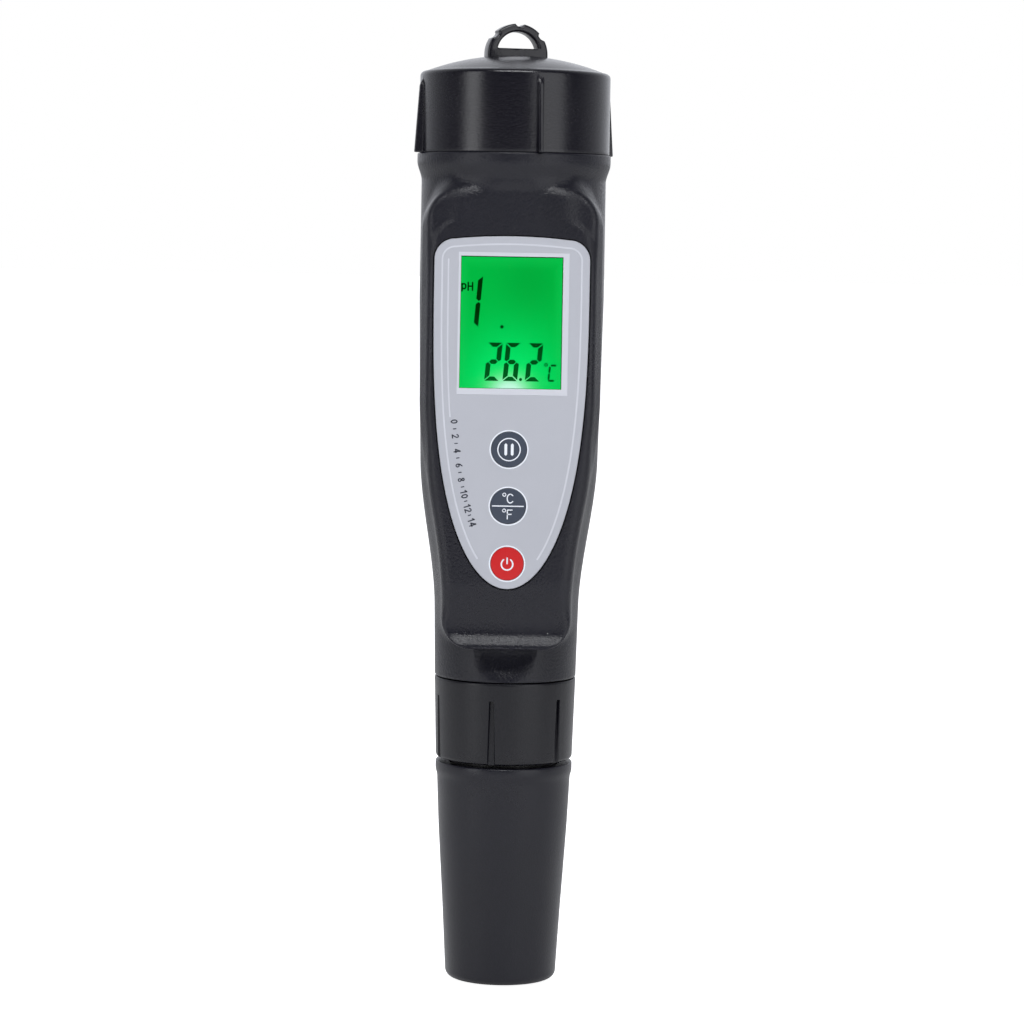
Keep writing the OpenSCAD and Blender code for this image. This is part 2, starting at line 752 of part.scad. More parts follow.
module protective_cap() {
  color("#2b2c2f") difference() {
    rotate_extrude() polygon(concat(
      [[0, 0]],
      arc(cap_base_r - 1.5, 1.5, 1.5, -90, 0, 6),
      [[11.66, 14.8], [12.66, 30], [cap_top_r, cap_h - 2], [cap_rim_r, cap_h - 1.7],
        [cap_rim_r, cap_h - 0.2],
        [cap_rim_r - 0.2, cap_h], [0, cap_h]]));
    rotate_extrude() polygon([[0, 2], [8.6, 2], [9.2, 2.8], [cap_bore_r, 33], [cap_bore_r, 50],
      [0, 50]]);
  }
}

module storage_sponge() {
  color("#d8c98a") translate([0, 0, 2.05]) cylinder(r = 8.5, h = 6);
}

housing();
panel_overlay();
display_lens();
lcd_cell();
light_guide();
backlight_led();
lcd_tray();
elastomer_strip();
inner_chassis();
main_board();
board_screws();
hold_switch();
unit_switch();
power_switch();
processor_chip();
amplifier_chip();
crystal();
chip_resistors();
positive_leaf();
negative_leaf();
battery_guide();
neck_seal();
probe_socket();
signal_leads();
battery_carrier();
button_cells();
positive_contact();
negative_contact();
battery_cap();
swivel_plate();
hold_key();
hold_plunger();
unit_key();
unit_plunger();
power_key();
power_plunger();
electrode_holder();
glass_stem();
ph_bulb();
reference_wire();
ceramic_junction();
temperature_sheath();
probe_guard();
pin_board();
contact_pins();
plug_seal();
barrel_seals();
locking_collar();
protective_cap();
storage_sponge();
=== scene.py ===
import math
import bpy
import bmesh
import numpy as np
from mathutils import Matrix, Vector


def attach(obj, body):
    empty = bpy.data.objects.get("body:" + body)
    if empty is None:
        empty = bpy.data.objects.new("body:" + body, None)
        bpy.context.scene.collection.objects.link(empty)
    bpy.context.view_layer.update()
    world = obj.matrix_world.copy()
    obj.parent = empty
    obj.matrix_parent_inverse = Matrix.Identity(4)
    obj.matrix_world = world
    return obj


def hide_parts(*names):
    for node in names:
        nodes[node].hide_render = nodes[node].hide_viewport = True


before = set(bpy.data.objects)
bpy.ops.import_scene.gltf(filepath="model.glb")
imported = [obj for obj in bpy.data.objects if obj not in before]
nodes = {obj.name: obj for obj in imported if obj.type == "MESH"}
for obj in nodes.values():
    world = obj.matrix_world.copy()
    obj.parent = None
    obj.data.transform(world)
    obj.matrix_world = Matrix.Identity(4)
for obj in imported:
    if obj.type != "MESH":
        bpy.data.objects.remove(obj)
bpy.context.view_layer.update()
MM = 0.001

# ------------------------------ numbers shared with the CAD, in millimetres
FRONT = 17.5  # depth of the pod's front plane
RECESS = 16.6  # depth of the overlay's seat
OVERLAY = 17.4  # depth of the overlay's face
WALL = 1.8  # thickness of the housing
LIP_Z, CORNER = 66.3, 5.8  # the pod's foot and the radius of its corners
CROWN_Z, CROWN_DROP, CROWN_RISE = 155.6, 1.65, 3.8  # the pod's arched top: apex, fall aside and slope back
TUBE_R, NECK_R, BORE_R = 18.2, 15.6, 13.5  # upper tube, its neck and the neck's bore
PANEL_W, PANEL_LOW, PANEL_TOP = 15.0, 78.0, 146.0  # overlay: half width, nose and top
WIN_W, WIN_H, WIN_Z = 19.7, 25.5, 129.35  # display window and the height of its middle
KEY_Z = (104.9, 94.0, 82.9)
KEY_RADIUS = (3.44, 3.44, 3.2)
LEAD, RIDGE = 4.0, 1.6  # both threads: rise a turn and height of the ridge
CAP_THREAD_Z, FOOT_THREAD_Z = 164.9, 51.2  # where the threads start
CAP_R, CAP_LOW, CAP_TOP = 18.8, 162.2, 181.7  # battery cap without its ribs, and its dome's top
RIB_R = 19.0  # radius that the ribs' widths are measured at
LOOP_R, LOOP_Z = 6.1, 181.9  # lanyard eye: outer radius and its centre


def ramp(v, a, b):
    """0 up to a, 1 from b on, and an even S-curve between; a may be above b."""
    t = np.clip((np.asarray(v, float) - a) / (b - a), 0, 1)
    return t * t * (3 - 2 * t)


def smin(a, b, k):
    """The lesser of two fields, rounded over a width of k where they meet."""
    h = np.clip(0.5 + 0.5 * (b - a) / k, 0, 1)
    return b * (1 - h) + a * h - k * h * (1 - h)


def smax(a, b, k):
    return -smin(-a, -b, k)


def tube(z):
    """Radius of the tube: slightly tapered below and above, a swelling between and the band at the top."""
    z = np.asarray(z, float)
    low = 13.9 + 0.022 * (z - 59.4)
    high = np.minimum(TUBE_R, 17.55 + 0.022 * (z - 104))
    s = ramp(z, 73, 102)
    body = low * (1 - s) + high * s
    return body + 0.9 * ramp(z, 156.8, 160.6)


def pod_width(z):
    """Half width of the pod."""
    return 12.6 + 4.9 * ramp(z, 74, 115)


def ogive(z):
    """Half width of the overlay's pointed lower part."""
    t = np.clip((np.asarray(z, float) - PANEL_LOW) / 60, 0, 1)
    return PANEL_W * np.sqrt(np.clip(1 - (1 - t) ** 2.9, 0, 1))


# ------------------------------ materials
def lin(r, g, b):
    """A linear colour from the usual 0 to 255 values."""
    def one(c):
        c /= 255
        return c / 12.92 if c <= 0.04045 else ((c + 0.055) / 1.055) ** 2.4
    return (one(r), one(g), one(b), 1)


class Graph:
    """A small helper for building a node material."""

    def __init__(self, name):
        self.mat = bpy.data.materials.new(name)
        self.mat.use_nodes = True
        self.tree = self.mat.node_tree
        self.tree.nodes.clear()
        self.out = self.add("ShaderNodeOutputMaterial")
        self.coord = self.add("ShaderNodeTexCoord").outputs["Object"]

    def add(self, kind, **props):
        n = self.tree.nodes.new(kind)
        for k, v in props.items():
            setattr(n, k, v)
        return n

    def wire(self, a, b):
        self.tree.links.new(a, b)
        return a

    def put(self, value, socket):
        if isinstance(value, bpy.types.NodeSocket):
            self.wire(value, socket)
        else:
            socket.default_value = value

    def math(self, op, a, b=0.0, clamp=False):
        n = self.add("ShaderNodeMath", operation=op, use_clamp=clamp)
        self.put(a, n.inputs[0])
        self.put(b, n.inputs[1])
        return n.outputs[0]

    def times(self, a, b):
        return self.math("MULTIPLY", a, b)

    def noise(self, scale, detail=4.0, rough=0.55, vector=None):
        n = self.add("ShaderNodeTexNoise")
        self.wire(vector or self.coord, n.inputs["Vector"])
        n.inputs["Scale"].default_value = scale
        n.inputs["Detail"].default_value = detail
        n.inputs["Roughness"].default_value = rough
        return n.outputs["Fac"]

    def cells(self, scale, vector=None):
        n = self.add("ShaderNodeTexVoronoi")
        self.wire(vector or self.coord, n.inputs["Vector"])
        n.inputs["Scale"].default_value = scale
        return n.outputs["Distance"]

    def stretch(self, x, y, z):
        n = self.add("ShaderNodeMapping")
        self.wire(self.coord, n.inputs["Vector"])
        n.inputs["Scale"].default_value = (x, y, z)
        return n.outputs["Vector"]

    def span(self, v, a, b, lo, hi):
        n = self.add("ShaderNodeMapRange")
        self.put(v, n.inputs["Value"])
        for k, x in (("From Min", a), ("From Max", b), ("To Min", lo), ("To Max", hi)):
            n.inputs[k].default_value = x
        return n.outputs["Result"]

    def blend(self, f, a, b):
        n = self.add("ShaderNodeMix", data_type="RGBA")
        self.put(f, n.inputs["Factor"])
        self.put(a, n.inputs["A"])
        self.put(b, n.inputs["B"])
        return n.outputs["Result"]

    def bump(self, height, strength, distance, normal=None):
        n = self.add("ShaderNodeBump")
        self.wire(height, n.inputs["Height"])
        n.inputs["Strength"].default_value = strength
        n.inputs["Distance"].default_value = distance
        if normal is not None:
            self.wire(normal, n.inputs["Normal"])
        return n.outputs["Normal"]

    def edges(self, radius):
        """Near 1 on sharp edges, from a bevelled normal against the true one."""
        bev = self.add("ShaderNodeBevel", samples=4)
        bev.inputs["Radius"].default_value = radius
        geo = self.add("ShaderNodeNewGeometry")
        dot = self.add("ShaderNodeVectorMath", operation="DOT_PRODUCT")
        self.wire(bev.outputs["Normal"], dot.inputs[0])
        self.wire(geo.outputs["Normal"], dot.inputs[1])
        return self.span(dot.outputs["Value"], 0.98, 0.75, 0.0, 1.0), bev.outputs["Normal"]

    def shade(self, **values):
        n = self.add("ShaderNodeBsdfPrincipled")
        for k, v in values.items():
            self.put(v, n.inputs[k.replace("_", " ")])
        return n

    def done(self, socket):
        self.wire(socket, self.out.inputs["Surface"])
        return self.mat


def moulded(name, colour, rough, grain=2600.0, depth=0.00004, strength=0.35, wear=0.35, specks=0.0,
            ior=1.5, flow=0.1):
    """Injection-moulded plastic: fine texture, uneven gloss, rubbed edges and a few dust specks."""
    g = Graph(name)
    fine = g.noise(grain, 3.0, 0.6)
    broad = g.noise(70.0, 4.0)
    drift = g.noise(16.0, 2.0)
    rub, soft = g.edges(0.0002)
    c = lin(*colour)
    light = tuple(min(1, x * 1.5 + 0.012) for x in c[:3]) + (1,)
    dark = tuple(x * 0.82 for x in c[:3]) + (1,)
    tone = g.blend(g.span(broad, 0.3, 0.7, 0.0, 1.0), dark, c)
    worn = g.times(rub, g.times(g.span(drift, 0.35, 0.65, 0.3, 1.0), wear))
    tone = g.blend(worn, tone, light)
    if specks:
        dots = g.span(g.cells(420.0), 0.05, 0.03, 0.0, 1.0)
        few = g.span(g.noise(95.0, 1.0), 0.69, 0.71, 0.0, 1.0)
        tone = g.blend(g.times(g.times(dots, few), specks), tone, lin(205, 205, 200))
    r = g.span(g.noise(34.0, 5.0), 0.3, 0.7, rough - flow * 0.5, rough + flow)
    r = g.math("ADD", r, g.span(fine, 0.3, 0.7, -0.03, 0.03), clamp=True)
    n = g.bump(fine, strength, depth, soft)
    n = g.bump(drift, 0.12, 0.0002, n)
    s = g.shade(Base_Color=tone, Roughness=r, Normal=n, IOR=ior)
    return g.done(s.outputs[0])


def metal(name, colour, rough):
    """Bare metal with level brush lines, dull blots and rubbed edges."""
    g = Graph(name)
    line = g.noise(60.0, 3.0, 0.6, g.stretch(1, 1, 15))
    blot = g.noise(300.0, 4.0)
    rub, soft = g.edges(0.00008)
    c = lin(*colour)
    dull = tuple(x * 0.72 for x in c[:3]) + (1,)
    tone = g.blend(g.span(blot, 0.3, 0.75, 0.0, 0.7), c, dull)
    tone = g.blend(g.times(rub, 0.5), tone, tuple(min(1, x * 1.3) for x in c[:3]) + (1,))
    r = g.span(line, 0.3, 0.7, rough - 0.08, rough + 0.12)
    s = g.shade(Base_Color=tone, Metallic=1.0, Roughness=r, Normal=g.bump(line, 0.2, 0.00002, soft))
    return g.done(s.outputs[0])


def rubbery(name, colour, rough=0.62):
    """Soft rubber with a little pale dust."""
    g = Graph(name)
    fine = g.noise(2200.0, 3.0)
    dust = g.noise(240.0, 5.0, 0.7)
    c = lin(*colour)
    tone = g.blend(g.span(dust, 0.52, 0.75, 0.0, 0.35), c, tuple(x * 1.8 + 0.02 for x in c[:3]) + (1,))
    s = g.shade(Base_Color=tone, Roughness=g.span(dust, 0.3, 0.7, rough - 0.08, rough + 0.1),
                Normal=g.bump(fine, 0.3, 0.00003))
    return g.done(s.outputs[0])


def clear(name, tint, rough=0.02, see=0.9, scratch=0.4, shine=1.0):
    """Clear glass or acrylic that lets light straight through, with a Fresnel sheen and fine scratches."""
    g = Graph(name)
    thin = g.noise(900.0, 2.0, 0.5, g.stretch(1, 1, 0.04))
    n = g.bump(g.span(thin, 0.66, 0.7, 0.0, 1.0), scratch * 0.1, 0.000005)
    gloss = g.add("ShaderNodeBsdfGlossy")
    gloss.inputs["Color"].default_value = (shine, shine, shine, 1)
    g.put(g.span(g.noise(60.0), 0.3, 0.7, rough, rough + 0.03), gloss.inputs["Roughness"])
    g.wire(n, gloss.inputs["Normal"])
    through = g.add("ShaderNodeBsdfTransparent")
    through.inputs["Color"].default_value = tuple(lin(*tint)[i] * see for i in range(3)) + (1,)
    lay = g.add("ShaderNodeFresnel")
    lay.inputs["IOR"].default_value = 1.42
    g.wire(n, lay.inputs["Normal"])
    mix = g.add("ShaderNodeMixShader")
    behind = g.add("ShaderNodeNewGeometry").outputs["Backfacing"]
    g.wire(g.times(lay.outputs[0], g.math("SUBTRACT", 1.0, behind)), mix.inputs[0])
    g.wire(through.outputs[0], mix.inputs[1])
    g.wire(gloss.outputs[0], mix.inputs[2])
    return g.done(mix.outputs[0])


def printed(name, colour, rough=0.42, tone_shift=0.05):
    """Satin printed film with faint ink mottling."""
    g = Graph(name)
    fine = g.noise(3800.0, 2.0)
    cloud = g.noise(55.0, 5.0)
    ink = g.noise(900.0, 3.0)
    c = lin(*colour)
    other = tuple(x * (1 - tone_shift) for x in c[:3]) + (1,)
    tone = g.blend(g.span(cloud, 0.3, 0.7, 0.0, 1.0), c, other)
    tone = g.blend(g.span(ink, 0.62, 0.8, 0.0, 0.12), tone, tuple(x * 0.8 for x in c[:3]) + (1,))
    soft = g.edges(0.0001)[1]
    s = g.shade(Base_Color=tone, Roughness=g.span(cloud, 0.3, 0.7, rough - 0.05, rough + 0.08),
                Normal=g.bump(fine, 0.25, 0.00001, soft))
    return g.done(s.outputs[0])


# ------------------------------ mesh helpers
def place(name, data):
    ob = bpy.data.objects.new(name, data)
    bpy.context.scene.collection.objects.link(ob)
    return ob


def solid(name, verts, faces):
    """An object from points in millimetres, with its faces turned outwards."""
    me = bpy.data.meshes.new(name)
    me.from_pydata([tuple(v) for v in (np.asarray(verts, float) * MM).tolist()], [], faces)
    bm = bmesh.new()
    bm.from_mesh(me)
    bmesh.ops.remove_doubles(bm, verts=bm.verts, dist=1e-7)
    bmesh.ops.recalc_face_normals(bm, faces=bm.faces)
    bm.to_mesh(me)
    bm.free()
    return place(name, me)


def smooth(me, angle):
    """Smooth shading, but for the edges sharper than an angle in degrees."""
    me.polygons.foreach_set("use_smooth", [True] * len(me.polygons))
    me.set_sharp_from_angle(angle=math.radians(angle))


def make(name, shape, body, material, stands_for=(), sharp=32.0):
    """A finished piece from (verts, faces), riding on a body."""
    ob = solid(name, *shape)
    smooth(ob.data, sharp)
    ob.data.materials.append(material)
    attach(ob, body)
    if stands_for:
        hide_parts(*stands_for)
    return ob


def cut(target, shape):
    """Cuts a closed solid out of target and throws the cutter away."""
    cutter = solid("cutter", *shape)
    mod = target.modifiers.new("cut", "BOOLEAN")
    mod.operation, mod.solver, mod.object = "DIFFERENCE", "EXACT", cutter
    whole, blade = target.data, cutter.data
    graph = bpy.context.evaluated_depsgraph_get()
    target_cut = bpy.data.meshes.new_from_object(target.evaluated_get(graph))
    target.modifiers.remove(mod)
    target.data = target_cut
    target_cut.name = target.name
    bpy.data.meshes.remove(whole)
    bpy.data.objects.remove(cutter)
    bpy.data.meshes.remove(blade)


def walls(a, b, n):
    """Faces between two rings of n points, which start at vertex a and at vertex b."""
    return [[a + i, a + (i + 1) % n, b + (i + 1) % n, b + i] for i in range(n)]


def fan(centre, a, n):
    """Faces from one vertex to a ring of n points that starts at vertex a."""
    return [[centre, a + i, a + (i + 1) % n] for i in range(n)]


def steps(a, b, d):
    """Even steps of about d from a up to, but without, b."""
    n = max(1, int(round((b - a) / d)))
    return [a + (b - a) * i / n for i in range(n)]


def turned(phi, r, z, closed=True, first=None, last=None):
    """Rings of points round the pen. phi is the angle from the front (-Y) towards +X, in radians.
    closed joins the last ring to the first; first and last are the heights of centre points instead."""
    m, n = r.shape
    verts = np.stack([r * np.sin(phi), -r * np.cos(phi), z], -1).reshape(-1, 3)
    faces = []
    for i in range(m if closed else m - 1):
        faces += walls(i * n, ((i + 1) % m) * n, n)
    for height, ring in ((first, 0), (last, m - 1)):
        if height is not None:
            faces += fan(len(verts), ring * n, n)
            verts = np.vstack([verts, [0, 0, height]])
    return verts, faces


def rings(profile, phi, radius_at=None):
    """A (z, r) profile as arrays of angle, radius and height. radius_at(phi, z, r) may shape each ring."""
    z, r = (np.array(v, float)[:, None] * np.ones((1, len(phi))) for v in zip(*profile))
    ph = np.ones((len(profile), 1)) * phi[None, :]
    return ph, (radius_at(ph, z, r) if radius_at else r), z


def stacked(stretches, phi):
    """Rings of several stretches, each a profile and a radius_at or None, one after the other."""
    return [np.vstack(part) for part in zip(*(rings(p, phi, at) for p, at in stretches))]


def bow(cz, cr, rad, a0, a1, n):
    """(z, r) points of an arc; angle 0 points outwards and 90 up."""
    return [(cz + rad * math.sin(math.radians(a0 + (a1 - a0) * i / n)),
             cr + rad * math.cos(math.radians(a0 + (a1 - a0) * i / n))) for i in range(n + 1)]


def thread(phi, z, z0, a0, turns, root, crest):
    """Radius of a helical ridge between root and crest. a0 is where it starts, in CAD degrees from +X."""
    deg = (np.degrees(phi) - 90 - a0) % 360
    out = np.zeros_like(z)
    for k in range(int(math.ceil(turns)) + 1):
        total = deg + 360 * k
        low = z0 + LEAD * total / 360
        rise = np.clip((z - low) / 0.4, 0, 1) * np.clip((low + RIDGE - z) / 0.4, 0, 1)
        ends = np.clip(total / 18, 0, 1) * np.clip((turns * 360 - total) / 18, 0, 1)
        out = np.maximum(out, rise * ends)
    return root + (crest - root) * out


def outline_prism(points, d0, d1):
    """A closed outline in x and z made solid between two depths, as verts and faces."""
    n = len(points)
    verts = [(x, -d0, z) for x, z in points] + [(x, -d1, z) for x, z in points]
    return verts, [list(range(n)), list(range(2 * n - 1, n - 1, -1))] + walls(0, n, n)


def sideways(p, closed=True):
    """Unit normals of a run of points, on the left of its direction."""
    t = np.roll(p, -1, 0) - np.roll(p, 1, 0) if closed else np.gradient(p, axis=0)
    t = t / np.maximum(np.linalg.norm(t, axis=1)[:, None], 1e-9)
    return np.stack([-t[:, 1], t[:, 0]], -1)


def soft_prism(points, d0, d1, bevel):
    """outline_prism with a rounded front edge. Points run anticlockwise."""
    inward = sideways(points)
    layers = [(0.0, d0), (0.0, d1 - bevel)]
    for a in np.radians([30, 60, 90]):
        layers.append((bevel * (1 - math.cos(a)), d1 - bevel + bevel * math.sin(a)))
    verts, n = [], len(points)
    for inset, d in layers:
        verts += [(x, -d, z) for x, z in points + inward * inset]
    faces = [list(range(n)), list(range(len(verts) - 1, len(verts) - n - 1, -1))]
    for k in range(len(layers) - 1):
        faces += walls(k * n, (k + 1) * n, n)
    return verts, faces


def band(a, b, d0, d1):
    """The solid between two closed outlines with equally many points, between two depths."""
    n = len(a)
    verts = [(x, -d, z) for loop, d in ((a, d0), (b, d0), (b, d1), (a, d1)) for x, z in loop]
    faces = []
    for k in range(4):
        faces += walls(k * n, ((k + 1) % 4) * n, n)
    return verts, faces


def panel_outline(inset):
    """The overlay's outline, drawn in by an amount along its normal. Anticlockwise from the nose."""
    round_r, crown = 4, 0.6
    nose_z = [PANEL_LOW + 60 * (i / 90) ** 2.4 for i in range(91)]
    half = [(float(ogive(z)), z) for z in nose_z]
    half += [(PANEL_W - round_r + round_r * math.cos(a), PANEL_TOP - crown - round_r + round_r * math.sin(a))
             for a in np.radians(np.linspace(0, 90, 16))]
    half += [((PANEL_W - round_r) * t, PANEL_TOP - crown * t * t) for t in np.linspace(0.94, 0.0, 16)]
    pts = np.array(half + [(-x, z) for x, z in half[-2:0:-1]], float)
    apart = [0] + [i for i in range(1, len(pts)) if np.hypot(*(pts[i] - pts[i - 1])) > 0.02]
    return pts[apart] + sideways(pts[apart]) * inset


def ribbon(points, width, d0, d1, closed=False, caps=5):
    """A printed line of even width along points in x and z, as a thin solid with round ends."""
    p = np.array(points, float)
    side = sideways(p, closed) * width / 2
    if closed:
        return band(p + side, p - side, d0, d1)

    def end(centre, arm):
        """Half a turn about an end of the line, from one side to the other."""
        a = math.atan2(arm[1], arm[0])
        return [(centre[0] + width / 2 * math.cos(a + math.pi * i / caps),
                 centre[1] + width / 2 * math.sin(a + math.pi * i / caps)) for i in range(1, caps)]

    loop = [*map(tuple, p - side), *end(p[-1], -side[-1]), *map(tuple, (p + side)[::-1]), *end(p[0], side[0])]
    return outline_prism(loop, d0, d1)


def join(parts):
    """Several (verts, faces) as one."""
    verts, faces = [], []
    for v, f in parts:
        base = len(verts)
        verts += [tuple(x) for x in v]
        faces += [[base + i for i in face] for face in f]
    return verts, faces


def circle_pts(cx, cz, r, a0=0.0, a1=360.0, n=40):
    """Points of a circle or of an arc, in x and z."""
    full = abs(a1 - a0) >= 360
    return [(cx + r * math.cos(math.radians(a)), cz + r * math.sin(math.radians(a)))
            for a in np.linspace(a0, a1, n + (0 if full else 1), endpoint=not full)]


def rect(cx, cz, w, h):
    """Corners of an upright rectangle, anticlockwise."""
    return [(cx + w / 2 * i, cz + h / 2 * k) for i, k in ((-1, -1), (1, -1), (1, 1), (-1, 1))]


# ------------------------------ the materials
BODY = moulded("body_plastic", (19, 19, 29), 0.28, grain=2300, depth=0.00011, strength=1.0, wear=0.5,
               specks=0.5, ior=1.42)
CAP = moulded("cap_plastic", (19, 18, 26), 0.2, grain=1900, depth=0.00005, strength=0.5, wear=0.5,
              specks=0.25, ior=1.48, flow=0.08)
COLLAR = moulded("collar_plastic", (11, 11, 19), 0.3, grain=2100, depth=0.00006, strength=0.45, wear=0.45,
                 specks=0.3, ior=1.43)
SLEEVE = moulded("sleeve_plastic", (18, 18, 28), 0.33, grain=2400, depth=0.00006, strength=0.45, wear=0.45,
                 specks=0.8, ior=1.43)
FILM = printed("overlay_film", (177, 179, 187))
WHITE_INK = printed("white_ink", (232, 236, 244), 0.4, 0.02)
PALE_INK = printed("pale_ink", (200, 202, 210), 0.4, 0.02)
DARK_INK = printed("dark_ink", (56, 59, 70), 0.4, 0.1)
KEY_BLUE = printed("key_blue", (56, 64, 79), 0.4, 0.08)
KEY_RED = printed("key_red", (196, 6, 12), 0.36, 0.08)
WHITE_PLASTIC = moulded("white_plastic", (214, 214, 208), 0.42, wear=0.1, strength=0.2)
GUARD = moulded("guard_plastic", (220, 220, 214), 0.38, wear=0.1, strength=0.15)
DARK_PLASTIC = moulded("dark_plastic", (40, 41, 44), 0.5, wear=0.3)
PACKAGE = moulded("chip_package", (27, 27, 29), 0.6, wear=0.2)
BROWN = moulded("plunger_plastic", (107, 74, 42), 0.45, wear=0.2)
STEEL = metal("bright_steel", (198, 200, 204), 0.24)
GOLD = metal("gold_plate", (222, 178, 92), 0.22)
SILVER = metal("silver_wire", (216, 218, 220), 0.3)
SEAL = rubbery("seal_rubber", (24, 24, 25))
LEAD_RED = rubbery("lead_insulation", (178, 42, 36), 0.4)
ZEBRA = rubbery("contact_rubber", (214, 160, 152), 0.5)
GLASS = clear("clear_glass", (235, 246, 248), 0.02, 0.92)
LENS = clear("clear_window", (255, 255, 255), 0.03, 1.0, 0.2, 0.04)


def board_material():
    g = Graph("circuit_board")
    trace = g.cells(620.0, g.stretch(1, 0.2, 1))
    weave = g.noise(1500.0, 2.0)
    tone = g.blend(g.span(trace, 0.32, 0.36, 0.0, 1.0), lin(24, 92, 48), lin(34, 122, 66))
    tone = g.blend(g.span(weave, 0.6, 0.8, 0.0, 0.3), tone, lin(12, 60, 30))
    s = g.shade(Base_Color=tone, Roughness=g.span(weave, 0.3, 0.7, 0.28, 0.42),
                Normal=g.bump(trace, 0.3, 0.00003))
    return g.done(s.outputs[0])


def ceramic_material():
    g = Graph("porous_ceramic")
    pores = g.cells(3600.0)
    # the darker colour in the middle of each pore is painted shade; the bump makes the pit
    s = g.shade(Base_Color=g.blend(g.span(pores, 0.0, 0.3, 0.0, 1.0), lin(200, 196, 184), lin(240, 238, 230)),
                Roughness=0.72, Normal=g.bump(pores, 0.5, 0.00005))
    return g.done(s.outputs[0])


def sponge_material():
    g = Graph("open_sponge")
    big, small = g.cells(900.0), g.cells(2200.0)
    hole = g.math("MINIMUM", g.span(big, 0.05, 0.45, 0.0, 1.0), g.span(small, 0.05, 0.4, 0.2, 1.0))
    # the holes are darker: painted shade in the sponge's open cells, which the bump sinks
    s = g.shade(Base_Color=g.blend(hole, lin(120, 96, 40), lin(222, 202, 120)), Roughness=0.85,
                Normal=g.bump(hole, 0.8, 0.0004))
    return g.done(s.outputs[0])


def lit_display():
    """The green backlight: brightest at the lamp at the lower edge, darker towards the upper right."""
    g = Graph("lit_display")
    split = g.add("ShaderNodeSeparateXYZ")
    g.wire(g.coord, split.inputs[0])
    # x and z run from -1 to 1 across the window
    x = g.times(split.outputs[0], 1 / (WIN_W / 2 * MM))
    z = g.times(g.math("SUBTRACT", split.outputs[2], WIN_Z * MM), 1 / (WIN_H / 2 * MM))

    def spot(cx, cz, sx, sz, power):
        dx = g.times(g.math("SUBTRACT", x, cx), 1 / sx)
        dz = g.times(g.math("SUBTRACT", z, cz), 1 / sz)
        q = g.math("ADD", g.times(dx, dx), g.times(dz, dz))
        return g.times(g.math("EXPONENT", g.times(q, -1.0)), power)

    glow = spot(-0.02, -1.02, 0.95, 0.85, 1.0)
    hot = spot(-0.02, -1.04, 0.32, 0.19, 1.25)
    shade = spot(0.35, 0.62, 0.6, 0.5, 1.0)
    rim = g.math("MAXIMUM", g.math("ABSOLUTE", x), g.math("ABSOLUTE", z))
    rim = g.span(rim, 0.8, 0.98, 0.0, 1.0)
    grain = g.noise(1800.0, 2.0)
    base = g.blend(glow, lin(0, 186, 66), lin(0, 240, 112))
    base = g.blend(g.times(shade, 0.55), base, lin(0, 164, 54))
    base = g.blend(g.times(rim, 0.35), base, lin(20, 214, 92))
    base = g.blend(hot, base, lin(196, 255, 226))
    base = g.blend(g.span(grain, 0.3, 0.8, 0.0, 0.05), base, lin(0, 120, 40))
    em = g.add("ShaderNodeEmission")
    g.wire(base, em.inputs["Color"])
    em.inputs["Strength"].default_value = 1.0
    gloss = g.add("ShaderNodeBsdfGlossy")
    gloss.inputs["Roughness"].default_value = 0.2
    gloss.inputs["Color"].default_value = (0.004, 0.004, 0.004, 1)
    both = g.add("ShaderNodeAddShader")
    g.wire(em.outputs[0], both.inputs[0])
    g.wire(gloss.outputs[0], both.inputs[1])
    return g.done(both.outputs[0])


def segment_material():
    """Dark green display segments that let a little backlight through low down; also painted window shadow.
    """
    g = Graph("display_segments_and_shadow")
    split = g.add("ShaderNodeSeparateXYZ")
    g.wire(g.coord, split.inputs[0])
    low = g.span(split.outputs[2], (WIN_Z + 2) * MM, (WIN_Z - 13) * MM, 0.0, 1.0)
    mottle = g.noise(1500.0, 2.0)
    tone = g.blend(low, lin(0, 44, 4), lin(0, 96, 34))
    tone = g.blend(g.span(mottle, 0.4, 0.8, 0.0, 0.3), tone, lin(0, 70, 16))
    em = g.add("ShaderNodeEmission")
    g.wire(tone, em.inputs["Color"])
    return g.done(em.outputs[0])


BOARD, CERAMIC, SPONGE = board_material(), ceramic_material(), sponge_material()
LIT, SEGMENT_AND_SHADOW = lit_display(), segment_material()

# ------------------------------ housing
def rounded(ax, z, half, edge_z, radius, up):
    """Signed distance in front view to a band of a given half width with round corners at its top or foot."""
    qx, qz = ax - (half - radius), (z - edge_z) * up + radius
    return np.hypot(np.maximum(qx, 0), np.maximum(qz, 0)) + np.minimum(np.maximum(qx, qz), 0) - radius


